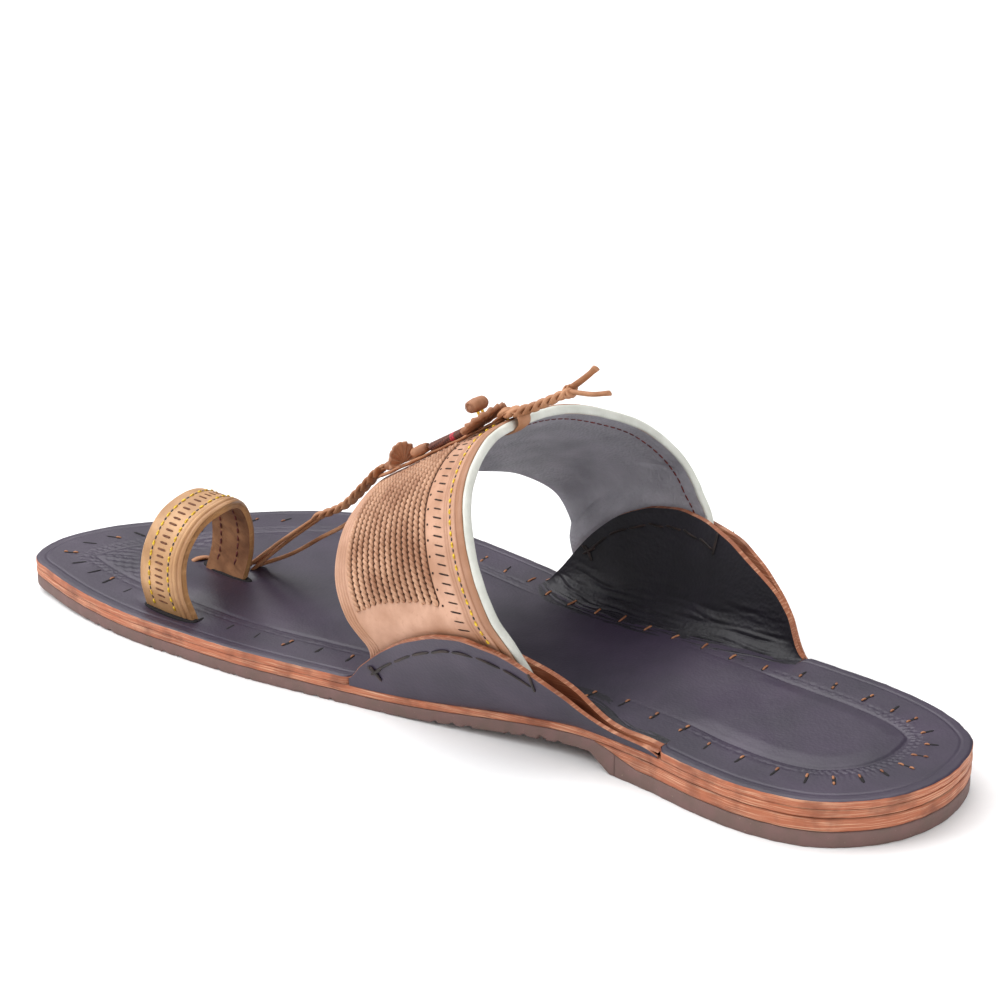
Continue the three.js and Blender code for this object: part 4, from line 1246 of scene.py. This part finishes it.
class SANDAL_OT_strap(bpy.types.Operator):
    """Builds the vamp strap with its lining and piping."""

    bl_idname = "sandal.strap"
    bl_label = "Vamp strap"

    def execute(self, context):
        band = strap_band()
        stops = np.concatenate([
            np.arange(STRAP_TRIM, 9, 0.3), np.arange(9, STRAP_WIDTH - 6, 1.2),
            np.arange(STRAP_WIDTH - 6, STRAP_WIDTH, 0.24), [STRAP_WIDTH],
        ])
        face, back = band_grids(band, stops, STRAP_THICKNESS, strap_relief)
        ripple = 0.14 * wobble(back[..., 1] + back[..., 2], 17, 30, 2)[..., None] * np.array([0, 0, 1])
        crease_z, crease_depth = 49.5, 0.7
        crease = crease_depth * bump_at(back[..., 2], crease_z, 0.9) * smooth(44, 47, back[..., 0])
        crease = crease * smooth(112, 118, back[..., 1]) * (1 - smooth(132, 138, back[..., 1]))
        back = back + ripple + np.stack([crease, 0 * crease, 0 * crease], -1)
        burnish = np.tile([strap_burnish(stop) for stop in stops], face.shape[0])
        marks = np.concatenate([burnish, np.zeros(len(burnish))])
        make_piece("vamp_strap", [sheet(face, back)],
                   ["veg_tan_leather", "grained_lining", "waxed_strap_edge"],
                   marks=marks)
        line, normals = band_line(band, STRAP_TRIM)
        front, _ = band_line(band, STRAP_TRIM + 2.0)
        rearward = unit(line - front)
        centre = line - normals * (STRAP_THICKNESS * 0.62) + rearward * 0.35
        pipe = 0.78 + 0.03 * wobble(arc_lengths(line), 23, 12, 2)
        make_piece("strap_piping", [sweep(centre, normals, pipe, pipe * 1.6, sides=16, ends=1.0)],
                   ["cream_piping"])
        return {"FINISHED"}


class SANDAL_OT_strap_trim(bpy.types.Operator):
    """Lays the twisted cords, stitches, punched slits and awl dots on the strap."""

    bl_idname = "sandal.strap_trim"
    bl_label = "Strap handwork"

    def execute(self, context):
        sizes = context.scene.sandal.sizes
        band = strap_band()
        cords, channel_shadows = [], []
        for i in range(sizes.cord_rows):
            line, normals = band_line(band, CORDS_FROM + i * sizes.cord_spacing)
            run = arc_lengths(line)
            clearance = 7 + 8.5 * i / (sizes.cord_rows - 1)
            free = above_ears(line, clearance)
            for side in (-1, 1):
                mine = free & (side * (line[:, 0] - CENTRE_X) > 5.4)
                if not mine.any():
                    continue
                lengths = np.arange(run[mine][0], run[mine][-1], 0.26)
                path, up = at_lengths(line, lengths, normals)
                up = unit(up)
                across = np.cross(unit(np.gradient(path, axis=0)), up)
                # A flat dark strip under each cord: painted shadow between the cords.
                channel_shadow = sweep(path + up * 0.02, up, sizes.cord_spacing * 0.5, 0.12, sides=8, ends=1.2)
                channel_shadows.append(channel_shadow)
                for ply in (0, 1):
                    turn = (2 * math.pi * lengths / PLY_LAY + math.pi * ply + 2.4 * i)[:, None]
                    offset = across * np.cos(turn) * PLY_OFFSET
                    offset = offset + up * (np.sin(turn) * PLY_OFFSET * 0.8 + 0.25)
                    cords.append(sweep(path + offset, up, PLY_RADIUS, PLY_RADIUS * 0.9, sides=6, ends=0.9))
        make_piece("cord_channels", channel_shadows, ["cord_shadow"])
        make_piece("strap_cords", cords, ["twisted_cord_leather"])
        line, _ = band_line(band, GOLD_ROW)
        run = arc_lengths(line)
        free = run[above_ears(line, 1.0)]
        gold, holes = stitch_row(band, GOLD_ROW, sizes.stitch_pitch, free[0], free[-1], 1.5, 1.0)
        make_piece("strap_gold_stitches", gold, ["gold_thread"])
        start, end = free[0], free[-1]
        slits = slit_row(band, SLIT_ROW, sizes.slit_spacing, start + 3, end - 3, 3.7, 0.22, faint=0.9)
        dots = slit_row(band, DOT_ROW, 4.3, start + 9, end - 9, 0.7, 0.3)
        make_piece("strap_stitch_holes", holes, ["black_thread"])
        make_piece("strap_slits", slits + dots, ["slit_shadow"])
        seam = inner_seam(band, GOLD_ROW, 2.6, free[0], free[-1], 1.05, STRAP_THICKNESS, 0.26)
        make_piece("lining_seam", seam, ["oxblood_thread"])
        return {"FINISHED"}


RING_WIDTH = 16.8
RING_ROWS = (5.1, 12.7)  # its two rows of stitches
THONG_END = [(-10.8, 236.5, 8.3), (-12.8, 238.2, 9.1), (-14.8, 239.4, 9.1), (-16.6, 240.2, 8.5)]


def ring_band():
    rear = [(x, y, z) for x, z, y, _ in RING]
    front = [(x, y, z) for x, z, _, y in RING]
    return make_band(rear, front, lambda points: points, RING_WIDTH, 180)


def ring_relief(stop):
    """Grooves near both rims of the toe ring."""
    relief = -0.3 * bump_at(stop, 1.7, 0.3) - 0.2 * bump_at(stop, 3.5, 0.25)
    relief -= 0.16 * bump_at(stop, RING_WIDTH - 1.1, 0.25)
    relief -= 0.4 * max(0.0, 1 - stop / 0.9) ** 2 + 0.4 * max(0.0, 1 - (RING_WIDTH - stop) / 0.9) ** 2
    return relief + 0.22 * bump_at(stop, 2.6, 0.55)


class SANDAL_OT_toe_ring(bpy.types.Operator):
    """Builds the toe ring with its stitches and slits."""

    bl_idname = "sandal.toe_ring"
    bl_label = "Toe ring"

    def execute(self, context):
        sizes = context.scene.sandal.sizes
        band = ring_band()
        stops = np.concatenate([np.arange(0, 4.6, 0.28), np.arange(4.6, RING_WIDTH - 2, 1.0),
                                np.arange(RING_WIDTH - 2, RING_WIDTH, 0.28), [RING_WIDTH]])
        half = RING_THICKNESS / 2
        face, middle = band_grids(band, stops, half - 0.06, ring_relief)
        brown = 0.55 * bump_at(stops, 1.7, 0.4) + 0.35 * bump_at(stops, 3.5, 0.3) + 0.4 * (stops < 1.5)
        marks = np.concatenate([np.tile(brown, face.shape[0]), np.zeros(len(stops) * face.shape[0])])
        tan, edge = "golden_veg_tan_leather", "waxed_strap_edge"
        make_piece("toe_ring", [sheet(face, middle)], [tan, tan, edge],
                   marks=marks, bevel=0.18)
        outer, inner = band_grids(band, stops, RING_THICKNESS, lambda stop: -half - 0.02)
        run = arc_lengths(band_line(band, RING_WIDTH / 2)[0])
        wrinkle = 0.16 * wobble(run[:, None] + 0.5 * stops[None], 71, 4.2, 2)
        wrinkle = wrinkle * smooth(0.5, 2, stops) * (1 - smooth(14.8, 16.3, stops))
        inner = inner + band["normals"][:, :1] * wrinkle[..., None]
        make_piece("toe_ring_backing", [sheet(outer, inner)], [tan, "suede_backing", edge],
                   bevel=0.18)
        start, end = 3.0, run[-1] - 3.0
        gold, holes, seams = [], [], []
        for place in RING_ROWS:
            stitches, gaps = stitch_row(band, place, sizes.stitch_pitch, start, end, 1.6, 1.05)
            gold += stitches
            holes += gaps
            seams += inner_seam(band, place, 2.9, start, end, 1.1, RING_THICKNESS, 0.3)
        make_piece("ring_gold_stitches", gold, ["gold_thread"])
        make_piece("ring_stitch_holes", holes, ["black_thread"])
        # The ring's slits are mid-brown strips of painted shade.
        slits = slit_row(band, 8.9, 1.95, start + 1, end - 1, 3.4, 0.32)
        make_piece("ring_slits", slits, ["punched_slit"])
        # Painted shadow: a dark ring round each foot of the toe ring, where it goes into the footbed.
        slot_shadows = []
        for place, tilt in zip(RING_FEET, (0.02, 0.3)):
            angle = np.linspace(0, 2 * math.pi, 61)
            x = place[0] + 1.5 * np.cos(angle) + tilt * 9.2 * np.sin(angle) * 0.3
            y = place[1] + 9.6 * np.sin(angle)
            slot_shadows.append(sweep(np.stack([x, y, footbed_top(y) - 0.3], 1), (0, 0, 1), 0.8, 0.5, sides=8))
        make_piece("ring_slot_shadow", slot_shadows, ["slit_shadow_plum"])
        stub = spline(THONG_END, 30)
        make_piece("toe_thong_end", [sweep(stub, (0, 0, 1), 0.95, 0.55, sides=10, ends=0.5)],
                   ["oiled_thong"])
        make_piece("ring_inner_seams", seams, ["oxblood_thread"])
        return {"FINISHED"}


# ---- thongs, plaits and the centre strip ----
RIDGE_ALONG = unit(RIDGE_FRONT - RIDGE_REAR)
RIDGE_UP = np.cross(np.array([1.0, 0, 0]), RIDGE_ALONG)
THONGS = [
    # name, how far it fans out across, place in the bundle, level in the bundle, sag
    ("toe_thong_1", -2.6, -1.1, 0.9, 0.0),
    ("toe_thong_2", -1.0, -1.1, -0.9, 1.2),
    ("toe_thong_3", 1.4, 1.1, 0.9, 0.0),
]
HANGING_THONG = [(CENTRE_X + 1.0, 223.2, 8.6), (CENTRE_X + 2.6, 210, 15.6), (CENTRE_X + 1.6, 197, 24.6),
                 (CENTRE_X + 0.8, 186, 32.2), (CENTRE_X + 0.5, 177, 41.0), (CENTRE_X, 172.4, 47.6)]


def ridge_place(y, lift=0.0, across=0.0):
    """A place on the strap's ridge line, lift millimetres square above it."""
    share = (y - RIDGE_REAR[1]) / (RIDGE_FRONT[1] - RIDGE_REAR[1])
    return RIDGE_REAR + (RIDGE_FRONT - RIDGE_REAR) * share + RIDGE_UP * lift + np.array([across, 0, 0])


def plait(path, pitch, spread_across, spread_up, half_width, half_height, taper=0.0):
    """A three-strand plait along a path."""
    line = spline(path, 160)
    run = arc_lengths(line)
    lengths = np.linspace(0, run[-1], int(run[-1] / 0.35))
    line = at_lengths(line, lengths)
    along = unit(np.gradient(line, axis=0))
    across = np.array([1.0, 0, 0])
    up = unit(np.cross(across, along))
    parts = []
    size = 1 - taper * smooth(run[-1] * 0.7, run[-1], lengths)
    for strand in range(3):
        turn = 2 * math.pi * lengths / pitch + strand * 2 * math.pi / 3
        offset = across * (spread_across * np.sin(turn) * size)[:, None]
        offset = offset + up * (spread_up * np.sin(2 * turn) * size)[:, None]
        parts.append(sweep(line + offset, up, half_width * size, half_height * size, sides=10, ends=1.2))
    return parts


class SANDAL_OT_thongs(bpy.types.Operator):
    """Builds the toe thongs, both plaits with their tails and the strip on the strap's ridge."""

    bl_idname = "sandal.thongs"
    bl_label = "Thongs and plaits"

    def execute(self, context):
        brown = ["oiled_thong"]
        meet = PLAIT_FRONT[0]
        for i, (name, fan, pair, level, sag) in enumerate(THONGS):
            start = (TOE_POST[0] + pair * 0.8, TOE_POST[1] + level * 0.5, TOE_POST[2] + level * 0.8 - 0.9)
            middle = (CENTRE_X + fan, (TOE_POST[1] + meet[1]) / 2, (TOE_POST[2] + meet[2]) / 2 - sag)
            end = (CENTRE_X + pair * 0.6, meet[1] - 1.5, meet[2] + 0.4 + level * 0.5)
            path = spline([start, middle, end], 60)
            path[:, 0] += 0.2 * wobble(path[:, 1], 20 + i, 14, 2)
            thong = sweep(path, RIDGE_UP, 0.95, 0.55, sides=10, ends=0.7)
            make_piece(name, [thong], brown)
        hanging = spline(HANGING_THONG, 90)
        hanging = sweep(hanging, RIDGE_UP, 0.8, 0.62, sides=10, ends=0.7)
        make_piece("toe_thong_4", [hanging], brown)
        front = plait(PLAIT_FRONT, 10.5, 1.35, 0.6, 1.45, 0.62)
        make_piece("plait_front", front, brown)
        rear = plait(PLAIT_REAR, 9.6, 1.5, 0.7, 1.5, 0.68, taper=0.1)
        binding = []
        for turn in range(2):
            angle = np.linspace(0, 2 * math.pi, 25)
            centre = np.array(PLAIT_REAR[-1]) + np.array([0, 0.6 + 1.1 * turn, -0.4 - 0.5 * turn])
            ring = centre + np.stack([1.7 * np.cos(angle), 0.7 * np.sin(angle), 1.15 * np.sin(angle)], 1)
            binding.append(sweep(ring, (0, 1, 0.4), 0.62, 0.36, sides=8))
        make_piece("plait_rear", rear + binding, brown)
        for name, path in TAILS.items():
            line = spline(path, 40)
            share = np.linspace(0, 1, len(line))
            width = 1.05 - 0.25 * share + 0.3 * smooth(0.8, 1, share)
            tail = sweep(line, (0.8, 0, 1), width, 0.62, sides=10, ends=0.35)
            make_piece(name, [tail], brown)
        ys = np.linspace(171.5, 129.0, 120)
        strip_line = np.array([ridge_place(y, 0.62 + 0.06 * math.sin(y)) for y in ys])
        half_width = 2.1 + 0.12 * wobble(ys, 9, 9, 2)
        strip_parts = [sweep(strip_line, RIDGE_UP, half_width, 0.5, sides=12, ends=0.6)]
        loop = spline([ridge_place(131.5, 0.9), (CENTRE_X, 126.4, 80.0), (CENTRE_X, 123.4, 80.0),
                       (CENTRE_X, 122.6, 77.4), (CENTRE_X, 124.8, 75.0), (CENTRE_X, 130.0, 72.6)], 80)
        up = unit(np.cross(np.array([1.0, 0, 0]), np.gradient(loop, axis=0)))
        strip_parts.append(sweep(loop, up, 2.6, 0.5, sides=12, ends=1.0))
        make_piece("centre_strip", strip_parts, brown)
        return {"FINISHED"}


# ---- ornaments ----
RED_TURNS = (10, 11)


def rosette(radius, lobes, sweep_angle, thickness, across, out, normal, centre):
    """A pinked leather disc or fan, ribbed from its middle to its scalloped rim."""
    steps = int(sweep_angle / (2 * math.pi) * lobes * 10)
    angles = np.linspace(0, sweep_angle, steps + 1)
    shares = np.linspace(0.04, 1, 12)
    angle, share = np.meshgrid(angles, shares, indexing="ij")
    scallop = 1 + 0.085 * np.abs(np.cos(lobes / 2 * angle)) * share**4
    reach = radius * share * scallop * 0.97
    ribs = 0.2 * np.cos(lobes * angle) * smooth(0.15, 0.5, share)
    dish = 0.35 * share**2
    flat = centre + (reach * np.cos(angle))[..., None] * across + (reach * np.sin(angle))[..., None] * out
    face = flat + (thickness / 2 + ribs + dish)[..., None] * normal
    back = flat + (ribs * 0.6 + dish - thickness / 2)[..., None] * normal
    return sheet(face, back)


def rolled_bead(centre, axis, length, radius, up, turns=2.5):
    """A short roll of leather whose wound layers show at its ends."""
    shares = np.linspace(-0.5, 0.5, 25)
    line = centre + np.outer(shares * length, axis)
    belly = radius * (1 - 0.22 * (2 * shares) ** 4) * (1 + 0.04 * wobble(shares * 10, 3, 4, 2))
    body = sweep(line, up, belly, belly, sides=20, ends=radius * 0.35)
    across = np.cross(axis, up)
    spiral = []
    for end in (-1, 1):
        angle = np.linspace(0, turns * 2 * math.pi, 50)
        reach = radius * (0.15 + 0.65 * angle / angle[-1])
        path = centre + axis * (end * length * 0.49) + np.outer(reach * np.cos(angle), up)
        path = path + np.outer(reach * np.sin(angle), across)
        spiral.append(sweep(path, axis, 0.1, 0.12, sides=6, ends=0.3))
    return [body, *spiral]


class SANDAL_OT_ornaments(bpy.types.Operator):
    """Builds the rosettes, rolled beads, wrapped stretch, and the button on its brass pin."""

    bl_idname = "sandal.ornaments"
    bl_label = "Ornaments"

    def execute(self, context):
        brown = ["ornament_leather"]
        x_axis = np.array([1.0, 0, 0])
        lift = 1.3
        tip = 0.2
        rise = unit(RIDGE_UP * math.cos(tip) + RIDGE_ALONG * math.sin(tip))
        run_out = np.cross(rise, x_axis)
        base = ridge_place(REAR_ROSETTE_Y, lift + 1.2)
        flat = rosette(6.6, 16, 2 * math.pi, 1.2, x_axis, run_out, rise, base)
        make_piece("rosette_rear", [flat], brown * 3)
        lean = 0.25
        up = unit(RIDGE_UP * math.cos(lean) - RIDGE_ALONG * math.sin(lean))
        normal = np.cross(up, x_axis)
        fan = rosette(5.6, 16, math.pi, 0.8, x_axis, up, -normal, ridge_place(FRONT_ROSETTE_Y, lift))
        make_piece("rosette_front", [fan], brown * 3)
        front = rolled_bead(ridge_place(BEAD_FRONT_Y, lift + 1.0), RIDGE_ALONG, 3.6, 1.25, RIDGE_UP)
        make_piece("bead_front", front, brown)
        rear = rolled_bead(ridge_place(BEAD_REAR_Y, lift + 1.2), RIDGE_ALONG, 6.4, 1.4, RIDGE_UP)
        make_piece("bead_rear", rear, brown)
        pin_base = lift + 1.4
        pins = []
        for shift in (-0.85, 0.85):
            foot = ridge_place(REAR_ROSETTE_Y, pin_base, shift)
            line = foot + np.outer(np.linspace(0, 3.4, 9), RIDGE_UP)
            pins.append(sweep(line, RIDGE_ALONG, 0.42, 0.42, sides=12, ends=0.1))
        make_piece("button_pin", pins, ["polished_brass"])
        knot = rolled_bead(ridge_place(REAR_ROSETTE_Y, pin_base + 4.3), x_axis, 6.4, 1.9, RIDGE_UP, turns=3)
        make_piece("button_knot", knot, brown)
        coil, red = [], []
        for i, y in enumerate(np.arange(152.2, 142.0, -0.72)):
            angle = np.linspace(0, 2 * math.pi, 21)
            ring = ridge_place(y, lift + 0.5) + np.outer(1.5 * np.cos(angle), x_axis)
            ring = ring + np.outer(0.95 * np.sin(angle), RIDGE_UP)
            ring = ring + np.outer(0.2 * np.sin(angle), RIDGE_ALONG)
            wound = red if i in RED_TURNS else coil
            wound.append(sweep(ring, RIDGE_ALONG, 0.42, 0.4, sides=8))
        make_piece("wrapped_stretch", coil, ["wrapping_thong"])
        make_piece("red_wrapping", red, ["red_thread"])
        return {"FINISHED"}


# ---- floor, lights and camera ----
CAMERA_PLACE = (-0.4633, -0.3736, 0.2952)
CAMERA_PITCH_DEG = 22.5
CAMERA_HEADING_DEG = 51.31  # clockwise from straight ahead, seen from above
CAMERA_LENS, CAMERA_SENSOR = 86.4, 36.0


LAMPS = [
    # name, place, where it looks, size, power
    ("front_softbox", (-0.75, 0.75, 0.8), (0, 0, 0.03), 0.7, 10),
    ("heel_fill", (-0.45, -1.1, 0.55), (0, 0, 0.04), 0.9, 7),
]
OVERHEAD_FROM = (0.15, 0.45, 1.1)
OVERHEAD_POWER, OVERHEAD_SPREAD_DEG = 3.3, 75
FLOOR_HALF_SIZE = 40.0


def add_light(name, kind, place, target, **settings):
    """A lamp at a place, which looks at the target."""
    data = bpy.data.lights.new(name, kind)
    for setting, value in settings.items():
        setattr(data, setting, value)
    lamp = bpy.data.objects.new(name, data)
    lamp.location = place
    lamp.rotation_euler = (Vector(target) - Vector(place)).to_track_quat("-Z", "Y").to_euler()
    bpy.context.scene.collection.objects.link(lamp)


class SANDAL_OT_stage(bpy.types.Operator):
    """Sets the pale floor, the soft lights and the camera."""

    bl_idname = "sandal.stage"
    bl_label = "Stage"

    def execute(self, context):
        scene = context.scene
        camera = bpy.data.objects.new("camera", bpy.data.cameras.new("camera"))
        camera.location = CAMERA_PLACE
        camera.rotation_euler = (math.radians(90 - CAMERA_PITCH_DEG), 0, -math.radians(CAMERA_HEADING_DEG))
        camera.data.lens, camera.data.sensor_width = CAMERA_LENS, CAMERA_SENSOR
        camera.data.clip_start = 0.01
        scene.collection.objects.link(camera)
        scene.camera = camera
        mesh = bpy.data.meshes.new("floor")
        half = FLOOR_HALF_SIZE
        corners = [(-half, -half, 0), (half, -half, 0), (half, half, 0), (-half, half, 0)]
        mesh.from_pydata(corners, [], [(0, 1, 2, 3)])
        floor = bpy.data.objects.new("floor", mesh)
        material, tree, shader, place = start_material(
            "matt_white_paper", Roughness=0.9, Specular_IOR_Level=0.0)
        tone = blend_colours(tree, noise(tree, place, 3), linear("#f4f4f5"), linear("#f7f7f7"))
        tree.links.new(tone, shader.inputs["Base Color"])
        mesh.materials.append(material)
        scene.collection.objects.link(floor)
        world = bpy.data.worlds.new("studio")
        world.use_nodes = True
        sky = world.node_tree
        heading = node(sky, "ShaderNodeTexCoord").outputs["Generated"]
        height = node(sky, "ShaderNodeSeparateXYZ", {0: heading}).outputs[2]
        # Bright at the horizon and dim above, so that the leather shines mostly at a low angle.
        glow = spread(sky, height, 0.03, 0.12, 1.0, 0.16)
        background = sky.nodes["Background"]
        background.inputs[0].default_value = (1, 1, 1, 1)
        sky.links.new(glow, background.inputs[1])
        scene.world = world
        add_light("overhead_light", "SUN", OVERHEAD_FROM, (0, 0, 0), energy=OVERHEAD_POWER,
                  angle=math.radians(OVERHEAD_SPREAD_DEG))
        for name, from_place, target, size, power in LAMPS:
            add_light(name, "AREA", from_place, target, shape="SQUARE", size=size, energy=power)
        scene.view_settings.view_transform = "Standard"
        return {"FINISHED"}


class SANDAL_PT_panel(bpy.types.Panel):
    """Lists the sandal's settings and the pieces that can be built."""

    bl_idname = "SANDAL_PT_panel"
    bl_label = "Kolhapuri Sandal"
    bl_space_type = "VIEW_3D"
    bl_region_type = "UI"
    bl_category = "Sandal"

    def draw(self, context):
        settings = context.scene.sandal
        for group in (settings.colours, settings.sizes):
            for name in group.bl_rna.properties.keys():
                if name not in ("rna_type", "name"):
                    self.layout.prop(group, name)
        for operator in OPERATORS:
            self.layout.operator(operator.bl_idname)


OPERATORS = (
    SANDAL_OT_stage, SANDAL_OT_sole, SANDAL_OT_footbed, SANDAL_OT_ears, SANDAL_OT_strap,
    SANDAL_OT_strap_trim, SANDAL_OT_toe_ring, SANDAL_OT_thongs, SANDAL_OT_ornaments,
)
CLASSES = (SandalColours, SandalSizes, SandalSettings, *OPERATORS, SANDAL_PT_panel)


def register():
    for item in CLASSES:
        bpy.utils.register_class(item)
    bpy.types.Scene.sandal = bpy.props.PointerProperty(
        type=SandalSettings, name="Sandal", description="Settings of the sandal")


def unregister():
    del bpy.types.Scene.sandal
    for item in reversed(CLASSES):
        bpy.utils.unregister_class(item)


def main():
    register()
    bpy.ops.sandal.stage()
    bpy.ops.sandal.sole()
    bpy.ops.sandal.footbed()
    bpy.ops.sandal.ears()
    bpy.ops.sandal.strap()
    bpy.ops.sandal.strap_trim()
    bpy.ops.sandal.toe_ring()
    bpy.ops.sandal.thongs()
    bpy.ops.sandal.ornaments()


if __name__ == "__main__":
    main()
